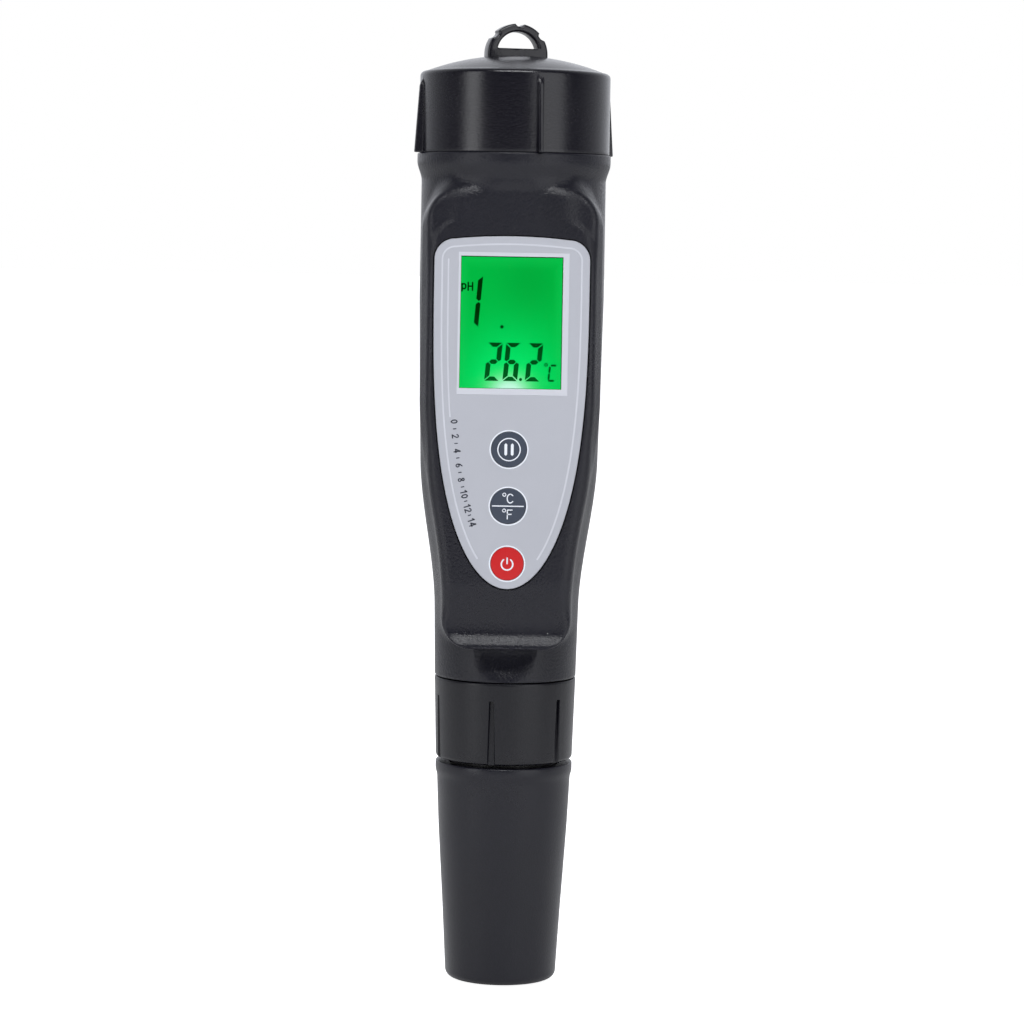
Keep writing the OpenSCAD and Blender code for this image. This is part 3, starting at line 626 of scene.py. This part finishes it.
def housing_field(x, y, z):
    """Distance-like field of the housing's outside: tube, pod, finger lip and the scoop under it."""
    depth, ax, r = -y, np.abs(x), np.hypot(x, y)
    # tube, cut flat in front behind the pod, the cut easing out above it
    plane = FRONT + 0.75 * ramp(z, 154.3, 157.2) + 3 * np.clip(z - 157.2, 0, None) + 9 * ramp(z, 76, 66)
    body = smax(r - tube(z), depth - plane, 0.4)
    # pod: front face hollowed above the lip, shouldered near the display's upper corners
    lip_z = [60, 66.3, 66.7, 67.1, 67.5, 68.1, 68.7, 69.2, 69.7, 70.4, 71.4, 74, 79]
    lip_rise = [-0.1, 0.0, 0.1, 0.08, -0.12, -0.47, -0.83, -1.02, -1.1, -1.12, -1.06, -0.65, 0]
    face = sum(np.interp(z + d, lip_z, lip_rise) for d in (-0.2, -0.1, 0.0, 0.1, 0.2)) / 5 + FRONT
    face = face + 0.16 * np.exp(-((z - LIP_Z - 0.2) / 0.16) ** 2)
    shoulder = rounded(ax, z, 14.8, 148.6, 4.8, 1)
    face = face - 0.55 * ramp(shoulder, -0.3, 1.3) * ramp(ax, 9.5, 13.5) * ramp(z, 138, 146)
    draft = 0.43 * np.clip(depth - 13.8, 0, None) * ramp(z, 94, 108)
    edge = rounded(ax + draft, z, pod_width(z), LIP_Z, CORNER, -1)
    pod = smax(depth - face, edge, 0.45 + 2.5 * ramp(z, 67.5, 75) - 1.9 * ramp(z, 94, 108))
    # arched crown that slopes back to the tube
    back = np.clip(FRONT - depth, 0, None)
    top = CROWN_Z - CROWN_DROP * (ax / 11.6) ** 2.4 - 0.25 * np.clip(ax - 14.3, 0, None) ** 2
    rise = CROWN_RISE - 2.6 * ramp(ax, 11.5, 16.5)
    pod = smax(pod, (z - top - rise * (1 - np.exp(-back / 3.0))) * 0.62, 1.2)
    pod = smax(pod, -depth - 2, 3.0)
    whole = smin(body, pod, 0.3 + 1.3 * ramp(ax, 8, 12) - 0.9 * ramp(ax, 14.5, 17.3))
    # scoop: an egg-shaped hollow with a deeper flat in its middle
    egg_w, egg_h, egg_d = 10.5, 7.4, 3.7
    inward = np.maximum(16.4 - depth, 0)
    egg = np.sqrt((ax / egg_w) ** 2 + ((z - 65.8) / egg_h) ** 2 + (inward / egg_d) ** 2) * egg_d - egg_d
    seat_z = [59.4, 60.4, 61.6, 62.7, 63.6, 64.6, 66, 67]
    seat = np.interp(z, seat_z, [15.2, 14.55, 13.8, 13.15, 12.75, 12.45, 12.25, 12.2])
    flat = smax(seat - depth, ax - 6.4 + 0.25 * (66.2 - z), 1.4)
    bite = smax(smax(smin(egg, flat, 1.2), z - LIP_Z + 0.12, 0.12), y + 4, 1.0)
    return smax(whole, -bite, 0.2 + 0.8 * ramp(z, 65, 62))


def skin(phi, z, offset=0.0):
    """Radius at which the field reaches -offset, by halving the interval."""
    lo, hi = np.full_like(z, 7.0), np.full_like(z, 27.0)
    for _ in range(22):
        mid = (lo + hi) / 2
        inside = housing_field(mid * np.sin(phi), -mid * np.cos(phi), z) + offset < 0
        lo, hi = np.where(inside, mid, lo), np.where(inside, hi, mid)
    return (lo + hi) / 2


def inner_wall(phi, z, r):
    """The skin less the wall's thickness, narrowed to the neck's bore. The last ring closes the foot."""
    r = np.minimum(skin(phi, z, WALL), np.where(z > 156, np.interp(z, [156, 158.5], [30, 13.9]), 30))
    r[-1] = r[-2]
    return r


skin_z = (steps(59.7, 64.9, 0.25) + steps(64.9, 68.6, 0.09) + steps(68.6, 76, 0.3) + steps(76, 143, 1.0)
          + steps(143, 161.95, 0.3) + [161.95])
inner_z = [158.4 - 0.9 * i for i in range(11)] + [148.4 - 2.2 * i for i in range(37)]
inner_z = [z for z in inner_z if z > 68.3] + [68]
foot = [(50.2, 9.2), (50.2, 11.2), (50.3, 11.4), (50.5, 11.5)]
foot_end = [(59.4, 11.5), (59.4, 13.6), (59.45, 13.78)]
band_top = [(162.1, 19.02), (162.17, 18.94), (CAP_LOW, 18.8), (CAP_LOW, NECK_R), (162.35, NECK_R),
            (162.35, 14.9), (164.1, 14.9), (164.1, NECK_R)]
neck_end = [(170.75, NECK_R), (170.95, 15.5), (171, 15.3), (171, 13.8), (170.9, 13.55), (170.7, BORE_R),
            (160.2, BORE_R), (160.2, 12.9), (158.5, 12.9), (158.5, 13.9)]
shape = stacked([
    (foot, None),
    ([(z, 11.5) for z in steps(50.6, 59.3, 0.14)],
     lambda p, z, r: thread(p, z, FOOT_THREAD_Z, 0, 1.25, 11.5, 12.1)),
    (foot_end, None),
    ([(z, 15) for z in skin_z], lambda p, z, r: skin(p, z)),
    (band_top, None),
    ([(z, NECK_R) for z in steps(164.2, 170.7, 0.14)],
     lambda p, z, r: thread(p, z, CAP_THREAD_Z, 0, 0.875, NECK_R, 16.35)),
    (neck_end, None),
    ([(z, 15) for z in inner_z], inner_wall),
    ([(68, 9.9), (60, 9.9), (60, 9.2)], None),
], np.radians(np.arange(0, 360, 1.0) - 180))
shell = make("housing_shell", turned(*shape), "housing", BODY, ("housing",), sharp=30)
cut(shell, outline_prism(panel_outline(-0.26), RECESS, 30))
cut(shell, outline_prism(panel_outline(1.7), 9.0, RECESS + 1))
smooth(shell.data, 30)

# ------------------------------ battery cap
RIBS = [math.radians(15 + 90 * i) for i in range(4)]


def from_rib(phi, rib):
    """The angle between a direction and a rib, from -pi to pi."""
    return (phi - rib + np.pi) % (2 * np.pi) - np.pi


rib_side = np.array([0.2, 0.38, 0.5, 0.6, 0.7, 0.82])
near_rib = np.concatenate([-rib_side[::-1], [0], rib_side]) / RIB_R
plain = [a for a in np.radians(np.arange(-180, 180, 1.25))
         if min(abs(from_rib(a, b)) for b in RIBS) > 0.9 / RIB_R]
cap_phi = np.array(sorted(plain + [from_rib(b + o, 0) for b in RIBS for o in near_rib]))


def rib_radius(ph, z, r):
    """The cap's outside with its ribs, which taper off towards the dome."""
    out = r.copy()
    high = np.interp(z, [CAP_LOW, 175.6, 176.7], [1.5, 0.6, 0])
    for b in RIBS:
        s = np.abs(from_rib(ph, b)) * RIB_R
        out += high * ramp(0.72 - s, 0, 0.4) * (r > 18.4)
    return out


outer = [(CAP_LOW, 18.45), (162.22, 18.66), (162.32, 18.77), (162.5, CAP_R)]
outer += [(z, CAP_R) for z in steps(163, 177.3, 0.65)] + bow(177.35, CAP_R - 1, 1.0, 0, 78, 8)
dome_high, dome_wide = 3.3, 17.6
ball_r = (dome_high ** 2 + dome_wide ** 2) / (2 * dome_high)
dome = [(CAP_TOP - ball_r + math.sqrt(ball_r ** 2 - x * x), x) for x in np.linspace(dome_wide, 0.6, 22)]
shape = stacked([
    ([(174.9, 4.2), (172.35, 4.2), (172.35, 9.0), (170.85, 9.0), (170.85, 10.6), (176.6, 10.6), (176.6, 16.6),
      (171.4, 16.6)], None),
    ([(171.2 - 0.15 * i, 16.6) for i in range(43)],
     lambda p, z, r: thread(p, z, CAP_THREAD_Z, 180, 1.0, 16.6, 15.85)),
    ([(164.6, 16.6), (164.55, 16.75), (162.5, 16.75), (CAP_LOW, 16.95)], None),
    (outer, rib_radius),
    (dome, None),
], cap_phi)
make("battery_cap_shell", turned(*shape, closed=False, first=174.9, last=CAP_TOP), "battery_cap", CAP,
     ("battery_cap",), sharp=28)


def lanyard_loop():
    """A round-edged eye with a flat-footed hole and three shallow notches, set into the dome."""
    cz, half, bev = 183.9, 1.9, 0.5
    hole_z, hole_r, hole_foot = 182.2, 4.2, 183.1
    prof = []
    for a0, dr, dy in ((180, bev, bev - half), (270, -bev, bev - half),
                       (0, -bev, half - bev), (90, bev, half - bev)):
        for i in range(5):
            a = math.radians(a0 + 90 * i / 4)
            prof.append((dr, dy, bev * math.cos(a), bev * math.sin(a)))
    n_a = 180
    verts, faces = [], []
    for i in range(n_a):
        a = 2 * math.pi * i / n_a
        c, s = math.cos(a), math.sin(a)
        # outer edge: circle with straight sides below its middle
        b = (cz - LOOP_Z) * s
        ro = -b + math.sqrt(b * b - (cz - LOOP_Z) ** 2 + LOOP_R ** 2)
        if cz + ro * s < LOOP_Z:
            ro = min(LOOP_R / max(abs(c), 1e-6), (cz - 179.4) / max(-s, 1e-6))
        for q in (-50, 3, 54):
            d = math.degrees(math.atan2(ro * c, cz + ro * s - LOOP_Z)) - q
            ro -= 0.55 * max(0.0, 1 - (abs(d) / 8.5) ** 3) if cz + ro * s > 183 else 0
        # hole: circle with a flat foot
        b = (cz - hole_z) * s
        ri = -b + math.sqrt(b * b - (cz - hole_z) ** 2 + hole_r ** 2)
        if s < 0:
            ri = min(ri, (cz - hole_foot) / -s)
        for dr, dy, ex, ey in prof:
            rho = (ri if dr > 0 else ro) + dr + ex
            verts.append((rho * c, dy + ey, cz + rho * s))
    m = len(prof)
    for i in range(n_a):
        faces += walls(i * m, ((i + 1) % n_a) * m, m)
    c, s = math.cos(RIBS[0]), math.sin(RIBS[0])
    return [(x * c - y * s, x * s + y * c, z) for x, y, z in verts], faces


make("lanyard_loop", lanyard_loop(), "battery_cap", CAP, sharp=40)

# ------------------------------ locking collar
GROOVES = [math.radians(-10.6 + 60 * i) for i in range(6)]
# columns of points: across a groove in half widths from its middle, then plain ones up to the next groove
across = [-2.2, -1.6, -1.2, -1.0, -0.86, -0.5, 0.0, 0.5, 0.86, 1.0, 1.2, 1.6, 2.2]
between = np.linspace(0.15, 0.85, 30) * 2 * math.pi / 6
columns = [c for a in GROOVES for c in [(a, u) for u in across] + [(a + t, None) for t in between]]
flank_z = steps(44.3, 55.2, 0.6) + [55.2, 55.5, 55.65, 55.75, 55.8, 55.95, 56.3, 57, 58, 58.7]
collar = [(46.1, 12.3), (46.1, 10.9), (43.42, 10.9), (43.3, 11.05), (43.3, 12.4)]
collar += bow(44.0, 12.75, 0.7, -86, 0, 7)
collar += [(z, 13.45 + 0.45 * (z - 44) / 15.1) for z in flank_z]
collar += [(59.0, 13.89), (59.12, 13.84), (59.2, 13.72), (59.25, 13.5), (59.25, 12.3)]
ph1, r1, z1 = rings(collar, np.array([a for a, u in columns]))
half_w = np.interp(z1[:, 0], [43.3, 55.75], [0.7, 0.4])
for j, (a, u) in enumerate(columns):
    if u is None:
        continue
    ph1[:, j] += u * half_w / 13.5
    if abs(u) < 1.1:
        deep = 1.0 if abs(u) < 0.95 else 0.35
        on = (z1[:, j] < 55.7) & (r1[:, j] > 12.35)
        r1[on, j] = r1[on, j] * (1 - deep) + deep * np.minimum(r1[on, j], 13.0)
ph2, r2, z2 = rings([(59.1 - 0.15 * i, 12.3) for i in range(86)], ph1[-1],
                    lambda p, z, r: thread(p, z, FOOT_THREAD_Z, 180, 1.25, 12.3, 11.7))
shape = [np.vstack(pair) for pair in ((ph1, ph2), (r1, r2), (z1, z2))]
make("collar_shell", turned(*shape), "locking_collar", COLLAR, ("locking_collar",),
     sharp=30)

# ------------------------------ protective cap
side_z = [1.5, 7, 14.8, 22, 30, 36, 40.6]
side_r = [10.88, 11.2, 11.66, 12.14, 12.66, 12.95, 13.16]
sleeve = [(2.0, 8.2), (2.1, 8.6), (2.8, 9.2), (33, 11.05), (42.3, 11.05), (42.55, 11.2), (42.6, 11.4)]
sleeve += [(42.6, 13.2)]
sleeve += bow(42.35, 13.2, 0.25, 80, 0, 4)
sleeve += [(41.2, 13.45), (40.9, 13.42), (40.5, 13.33), (40.1, 13.22), (39.8, 13.15)]
sleeve += [(39.4 - i, float(np.interp(39.4 - i, side_z, side_r))) for i in range(38)]
sleeve += bow(1.5, 9.38, 1.5, 0, -84, 12) + [(0.0, 8.9)]
shape = rings(sleeve, np.radians(np.arange(-180, 180, 2.0)))
make("protective_cap_shell", turned(*shape, closed=False, first=2.0, last=0.0), "protective_cap", SLEEVE,
     ("protective_cap",), sharp=30)

# ------------------------------ panel overlay
film = make("overlay_sheet", soft_prism(panel_outline(0.0), RECESS, OVERLAY, 0.16), "housing", FILM,
            ("panel_overlay",))
cut(film, outline_prism(rect(0, WIN_Z, WIN_W + 1.8, WIN_H + 1.8), 10, OVERLAY - 0.045))
cut(film, outline_prism(rect(0, WIN_Z, WIN_W, WIN_H), 10, 22))
for z, r in zip(KEY_Z, KEY_RADIUS):
    cut(film, outline_prism(circle_pts(0, z, r + 0.06, n=96), 10, 22))
smooth(film.data, 30)

INK0, INK1 = OVERLAY - 0.02, OVERLAY + 0.025  # depths between which the print lies


def run(points, lo, hi, side):
    """The stretch of an outline on one side between two heights."""
    got = [tuple(p) for p in points if lo <= p[1] <= hi and p[0] * side > 0]
    return sorted(got, key=lambda p: p[1])


# one thin line round the panel, and a short one inside it at the left
inner = panel_outline(1.55)
side_low, side_high = 83.6, 141
top = sorted((tuple(p) for p in inner if p[1] > side_high), key=lambda p: -p[0])
round_line = run(inner, side_low, side_high, 1) + top + run(inner, side_low, side_high, -1)[::-1]
short_line = run(panel_outline(2.75), 110.8, 141.4, -1)
lines = join([ribbon(round_line, 0.36, INK0, INK1), ribbon(short_line, 0.32, INK0, INK1)])
make("panel_lines", lines, "housing", PALE_INK)

# a generic scale along the lower left edge: ticks with a number at every second one
GLYPH = {
    "0": [[(0.25, 0), (0.02, 0.25), (0.02, 0.75), (0.25, 1), (0.48, 0.75), (0.48, 0.25), (0.25, 0)]],
    "1": [[(0.08, 0.76), (0.3, 1)], [(0.3, 1), (0.3, 0)]],
    "2": [[(0.02, 0.76), (0.12, 0.95), (0.3, 1), (0.47, 0.9), (0.47, 0.66), (0.02, 0)],
          [(0.02, 0), (0.5, 0)]],
    "4": [[(0.38, 0), (0.38, 1)], [(0.38, 1), (0.0, 0.3)], [(0.0, 0.3), (0.52, 0.3)]],
    "6": [[(0.42, 0.98), (0.12, 0.7), (0.02, 0.3), (0.12, 0.05), (0.3, 0), (0.48, 0.14), (0.48, 0.42),
           (0.3, 0.56), (0.06, 0.42)]],
    "8": [[(0.25, 0.54), (0.05, 0.7), (0.08, 0.92), (0.25, 1), (0.42, 0.92), (0.45, 0.7), (0.25, 0.54),
           (0.02, 0.34), (0.04, 0.08), (0.25, 0), (0.46, 0.08), (0.48, 0.34), (0.25, 0.54)]],
    "C": [[(0.62, 0.82), (0.5, 0.95), (0.34, 1), (0.16, 0.93), (0.04, 0.74), (0.0, 0.5), (0.04, 0.26),
           (0.16, 0.07), (0.34, 0), (0.5, 0.05), (0.62, 0.18)]],
    "F": [[(0.55, 1), (0.02, 1), (0.02, 0)], [(0.02, 0.52), (0.46, 0.52)]],
    "p": [[(0.02, 0.7), (0.02, -0.28)],
          [(0.02, 0.52), (0.18, 0.68), (0.38, 0.66), (0.5, 0.5), (0.5, 0.2), (0.38, 0.03), (0.18, 0.02),
           (0.02, 0.17)]],
    "H": [[(0.0, 0), (0.0, 1)], [(0.56, 0), (0.56, 1)], [(0.0, 0.52), (0.56, 0.52)]],
}


def dense(points, step=0.08):
    """A path with points added so that they are about a step apart."""
    out = []
    for (x0, y0), (x1, y1) in zip(points, points[1:]):
        n = max(1, int(math.hypot(x1 - x0, y1 - y0) / step))
        out += [(x0 + (x1 - x0) * i / n, y0 + (y1 - y0) * i / n) for i in range(n)]
    return out + [points[-1]]


def glyph(ch, x, z, height, width, d0, d1, turn=0.0):
    """One sign drawn with strokes, its foot's left end at x, z, turned anticlockwise by turn degrees."""
    made, c, s = [], math.cos(math.radians(turn)), math.sin(math.radians(turn))
    for stroke in GLYPH[ch]:
        pts = dense([(a * height, b * height) for a, b in stroke])
        if len(pts) > 6 and ch in "068C2":
            q = np.array(pts)
            for _ in range(3):
                q[1:-1] = (q[:-2] + q[1:-1] * 2 + q[2:]) / 4
            pts = q.tolist()
        made.append(ribbon([(x + a * c - b * s, z + a * s + b * c) for a, b in pts], width, d0, d1))
    return made


guide = np.array(run(panel_outline(2.9), 88.0, 112.0, -1))[::-1]
length = np.concatenate([[0], np.cumsum(np.hypot(*np.diff(guide, axis=0).T))])


def on_guide(s):
    """The point s along the guide, with the direction there and its normal."""
    p, q = (np.array([np.interp(v, length, guide[:, k]) for k in (0, 1)]) for v in (s, s + 0.3))
    t = (q - p) / np.linalg.norm(q - p)
    return p, t, np.array([-t[1], t[0]])


scale_marks = []
for i in range(15):
    p, t, nrm = on_guide(1.0 + i * 1.42)
    if i % 2:
        tick = dense([tuple(p + nrm * 0.32), tuple(p + nrm * 0.82)], 0.2)
        scale_marks.append(ribbon(tick, 0.2, INK0, INK1))
        continue
    turn = math.degrees(math.atan2(t[1], t[0]))
    text = str(i)
    wide = 0.5 * 1.15 * len(text) + 0.26 * (len(text) - 1)
    for n, ch in enumerate(text):
        at = p + t * (-wide / 2 + n * 0.84)
        scale_marks += glyph(ch, at[0], at[1], 1.2, 0.23, INK0, INK1, turn)
make("panel_scale", join(scale_marks), "housing", DARK_INK)

# pale printed frame round the window, and pale rings round the keys
frame_print = band(rect(0.37, WIN_Z - 0.22, WIN_W + 1.65, WIN_H + 1.95), rect(0, WIN_Z, WIN_W, WIN_H),
                   INK0, INK1)
make("window_frame", frame_print, "housing", PALE_INK)
key_rings = [ribbon(circle_pts(0, z, r + 0.2, n=72), 0.26, INK0, INK1, closed=True)
             for z, r in zip(KEY_Z, KEY_RADIUS)]
make("key_rings", join(key_rings), "housing", WHITE_INK)


# ------------------------------ keys
def key_solid(zc, rad):
    """A key turned about its own axis: stem, flange and a slightly crowned disc with a soft edge."""
    top = OVERLAY
    prof = [(13.12, 1.7), (13.3, 1.9), (top - 1.2, 1.9), (top - 1.2, rad + 0.55), (top - 1.16, rad + 0.6),
            (top - 0.88, rad + 0.6), (top - 0.84, rad + 0.55), (top - 0.84, rad)]
    prof += [(top - 0.1, rad), (top - 0.03, rad - 0.02), (top + 0.03, rad - 0.08), (top + 0.06, rad - 0.18)]
    prof += [(top + 0.06 + 0.03 * (1 - (q / rad) ** 2), q) for q in np.linspace(rad - 0.4, 0.3, 8)]
    n = 96
    verts, faces = [], []
    for d, q in prof:
        verts += [(x, -d, z) for x, z in circle_pts(0, zc, q, n=n)]
    for k in range(len(prof) - 1):
        faces += walls(k * n, (k + 1) * n, n)
    faces += fan(len(verts), 0, n) + fan(len(verts) + 1, len(verts) - n, n)
    return verts + [(0, -prof[0][0], zc), (0, -top - 0.09, zc)], faces


for i, (name, mat, slot) in enumerate((("hold_key", KEY_BLUE, "key_blue"), ("unit_key", KEY_BLUE, "key_blue"),
                                       ("power_key", KEY_RED, "key_red"))):
    make(name + "_disc", key_solid(KEY_Z[i], KEY_RADIUS[i]), name, mat, (name,), sharp=35)

K0, K1 = OVERLAY + 0.04, OVERLAY + 0.13  # the same for the signs on the keys
zh, zu, zp = KEY_Z
pause = [ribbon(dense([(x, zh - 0.95), (x, zh + 0.95)]), 0.55, K0, K1, caps=2) for x in (-0.62, 0.62)]
pause += [ribbon(circle_pts(0, zh, 2.15, n=72), 0.22, K0, K1, closed=True)]
make("hold_icon", join(pause), "hold_key", WHITE_INK)
units = [ribbon(dense([(-3.0, zu), (2.95, zu)], 0.3), 0.22, K0, K1)]
for z in (zu + 2.2, zu - 0.85):
    units.append(ribbon(circle_pts(-0.75, z, 0.3, n=24), 0.17, K0, K1, closed=True))
units += glyph("C", -0.2, zu + 0.6, 1.75, 0.22, K0, K1)
units += glyph("F", -0.15, zu - 2.45, 1.7, 0.22, K0, K1)
make("unit_icon", join(units), "unit_key", WHITE_INK)
power = [ribbon(circle_pts(0, zp - 0.1, 1.1, 128, 412, n=50), 0.28, K0, K1),
         ribbon(dense([(0, zp + 0.05), (0, zp + 1.1)]), 0.28, K0, K1)]
make("power_icon", join(power), "power_key", WHITE_INK)

# ------------------------------ display
LCD_FACE = RECESS - 0.1
S0, S1 = LCD_FACE - 0.02, LCD_FACE + 0.03  # depths between which the segments lie


def digit(segs, cx, cz, half, high, thick, slant):
    """A seven-segment sign. Segments are named a to g, clockwise from the top, g in the middle."""
    w, h, g, b = half, high / 2, 0.1, thick / 2
    lean = math.tan(math.radians(slant))
    level = [(-w - b * 0.2 + g, h + b * 0.1), (w + b * 0.2 - g, h + b * 0.1),
             (w - 2 * b - g, h - 2 * b + b * 0.2), (-w + 2 * b + g, h - 2 * b + b * 0.2)]
    middle = [(-w + b + g, 0), (-w + 2 * b + g, b), (w - 2 * b - g, b), (w - b - g, 0), (w - 2 * b - g, -b),
              (-w + 2 * b + g, -b)]
    upright = [(w + b * 0.1, h - g - b * 0.2), (w + b * 0.1, g + b * 0.6), (w - b * 0.9, g),
               (w - 2 * b, g + b), (w - 2 * b, h - 2 * b - g)]
    # which shape, and whether it is mirrored in x and in z
    kinds = {"a": (level, 1, 1), "b": (upright, 1, 1), "c": (upright, 1, -1), "d": (level, 1, -1),
             "e": (upright, -1, -1), "f": (upright, -1, 1), "g": (middle, 1, 1)}
    made = []
    for s in segs:
        points, mx, mz = kinds[s]
        made.append(outline_prism([(cx + x * mx + z * mz * lean, cz + z * mz) for x, z in points], S0, S1))
    return made


# upper reading: one tall stroke pair, its point, and the small pH sign
marks = digit("bc", -7.25, WIN_Z + 3.95, 1.24, 10.1, 0.86, 4.7)
marks.append(outline_prism(circle_pts(-1.79, WIN_Z - 0.85, 0.34, n=20), S0, S1))
marks += glyph("p", -9.62, WIN_Z + 6.35, 1.45, 0.3, S0, S1)
marks += glyph("H", -8.42, WIN_Z + 6.1, 1.5, 0.3, S0, S1)
# lower reading, with its point, the degree ring and a C of four strokes
for segs, x in (("abged", -3.31), ("afgedc", 0.22), ("abged", 4.54)):
    marks += digit(segs, x, WIN_Z - 7.6, 1.38, 7.3, 0.88, 5.0)
marks.append(outline_prism(circle_pts(1.98, WIN_Z - 10.95, 0.3, n=20), S0, S1))
marks.append(ribbon(circle_pts(6.85, WIN_Z - 8.05, 0.26, n=20), 0.2, S0, S1, closed=True))
for ends in (((7.9, -8.15), (8.7, -8.15)), ((7.6, -8.5), (7.51, -9.45)), ((7.46, -9.85), (7.37, -10.8)),
             ((7.45, -11.1), (8.3, -11.1))):
    marks.append(ribbon(dense([(x, WIN_Z + z) for x, z in ends], 0.2), 0.4, S0, S1, caps=2))
make("display_marks", join(marks), "housing", SEGMENT_AND_SHADOW)
# a thin dark frame just inside the window, widest at the top and right: painted shadow of the recess's edge
# on the display
recess_shadow_frame = band(rect(0, WIN_Z, WIN_W + 0.02, WIN_H + 0.02),
              rect(-0.04, WIN_Z - 0.06, WIN_W - 0.2, WIN_H - 0.24), S0, S1)
make("display_recess_shadow", recess_shadow_frame, "housing", SEGMENT_AND_SHADOW)

# ------------------------------ materials of the CAD nodes that stay
CAD_LOOKS = (
    (LENS, "display_lens"),
    (LIT, "lcd_cell"),
    (clear("guide_acrylic", (225, 255, 235), 0.2, 0.8), "light_guide"),
    (WHITE_PLASTIC, "backlight_led lcd_tray battery_guide battery_carrier"),
    (ZEBRA, "elastomer_strip"),
    (DARK_PLASTIC, "inner_chassis probe_socket electrode_holder"),
    (BOARD, "main_board pin_board"),
    (STEEL, "board_screws hold_switch unit_switch power_switch crystal button_cells negative_contact"
            " swivel_plate temperature_sheath"),
    (PACKAGE, "processor_chip amplifier_chip chip_resistors"),
    (GOLD, "positive_leaf negative_leaf positive_contact contact_pins"),
    (SEAL, "neck_seal plug_seal barrel_seals"),
    (LEAD_RED, "signal_leads"),
    (BROWN, "hold_plunger unit_plunger power_plunger"),
    (GLASS, "glass_stem ph_bulb"),
    (SILVER, "reference_wire"),
    (CERAMIC, "ceramic_junction"),
    (GUARD, "probe_guard"),
    (SPONGE, "storage_sponge"),
)
for mat, names in CAD_LOOKS:
    for name in names.split():
        me = nodes[name].data
        me.materials.clear()
        me.materials.append(mat)
        smooth(me, 28)

# ------------------------------ stage, light and camera
me = bpy.data.meshes.new("floor")
me.from_pydata([(-6, -6, -0.0004), (6, -6, -0.0004), (6, 14, -0.0004), (-6, 14, -0.0004)], [], [[0, 1, 2, 3]])
floor = place("floor", me)
g = Graph("floor_white")
diff = g.add("ShaderNodeBsdfDiffuse")
g.put(g.blend(g.noise(3.0), (0.93, 0.93, 0.93, 1), (0.9, 0.9, 0.9, 1)), diff.inputs["Color"])
glow = g.add("ShaderNodeEmission")
ray = g.add("ShaderNodeLightPath")
g.wire(g.span(ray.outputs["Is Camera Ray"], 0, 1, 0.15, 0.95), glow.inputs["Strength"])
both = g.add("ShaderNodeAddShader")
g.wire(diff.outputs[0], both.inputs[0])
g.wire(glow.outputs[0], both.inputs[1])
me.materials.append(g.done(both.outputs[0]))
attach(floor, "protective_cap")   # the cap stands on it, also when it is pulled off

world = bpy.data.worlds.new("studio")
bpy.context.scene.world = world
world.use_nodes = True
world.node_tree.nodes.clear()


def world_node(kind, **values):
    n = world.node_tree.nodes.new(kind)
    for k, v in values.items():
        n.inputs[k.replace("_", " ")].default_value = v
    return n


# plain white for the camera; for all other rays a soft light that grows from front to back
camera_white = world_node("ShaderNodeBackground", Color=(1, 1, 1, 1), Strength=1.0)
studio = world_node("ShaderNodeBackground", Color=(0.92, 0.94, 1, 1))
grow = world_node("ShaderNodeMapRange", From_Min=-0.2, From_Max=0.9, To_Min=0.05, To_Max=1.12)
split = world_node("ShaderNodeSeparateXYZ")
pick = world_node("ShaderNodeMixShader")
for a, b in ((world_node("ShaderNodeTexCoord").outputs["Generated"], split.inputs[0]),
             (split.outputs["Y"], grow.inputs["Value"]),
             (grow.outputs[0], studio.inputs["Strength"]),
             (world_node("ShaderNodeLightPath").outputs["Is Camera Ray"], pick.inputs[0]),
             (studio.outputs[0], pick.inputs[1]),
             (camera_white.outputs[0], pick.inputs[2]),
             (pick.outputs[0], world_node("ShaderNodeOutputWorld").inputs["Surface"])):
    world.node_tree.links.new(a, b)


def softbox(name, azimuth, height, distance, wide, tall, power):
    light = bpy.data.lights.new(name, "AREA")
    light.shape, light.size, light.size_y, light.energy = "RECTANGLE", wide, tall, power
    light.color = (0.97, 0.98, 1)
    ob = place(name, light)
    a = math.radians(azimuth)
    ob.location = (math.sin(a) * distance, -math.cos(a) * distance, height)
    aim = Vector((0, 0, 0.11)) - ob.location
    ob.rotation_euler = aim.to_track_quat("-Z", "Y").to_euler()
    ob.visible_camera = False


softbox("softbox_left", -51.5, 0.17, 0.75, 0.25, 0.85, 1.85)
softbox("softbox_right", 41.5, 0.17, 0.75, 0.53, 0.85, 2.2)
softbox("softbox_top", 0, 1.05, 0.75, 0.75, 0.34, 8.7)

cam_data = bpy.data.cameras.new("camera")
cam = place("camera", cam_data)
cam_data.sensor_width = 36
cam_data.lens = 121.3
cam_data.shift_x = -0.0006
cam_data.shift_y = -0.2617
cam_data.clip_start, cam_data.clip_end = 0.05, 60
cam.location = (0.0, -0.682, 0.1445)
cam.rotation_euler = (math.radians(90), math.radians(-1.0), 0)
bpy.context.scene.camera = cam
bpy.context.scene.view_settings.view_transform = "Standard"
bpy.context.scene.view_settings.look = "None"
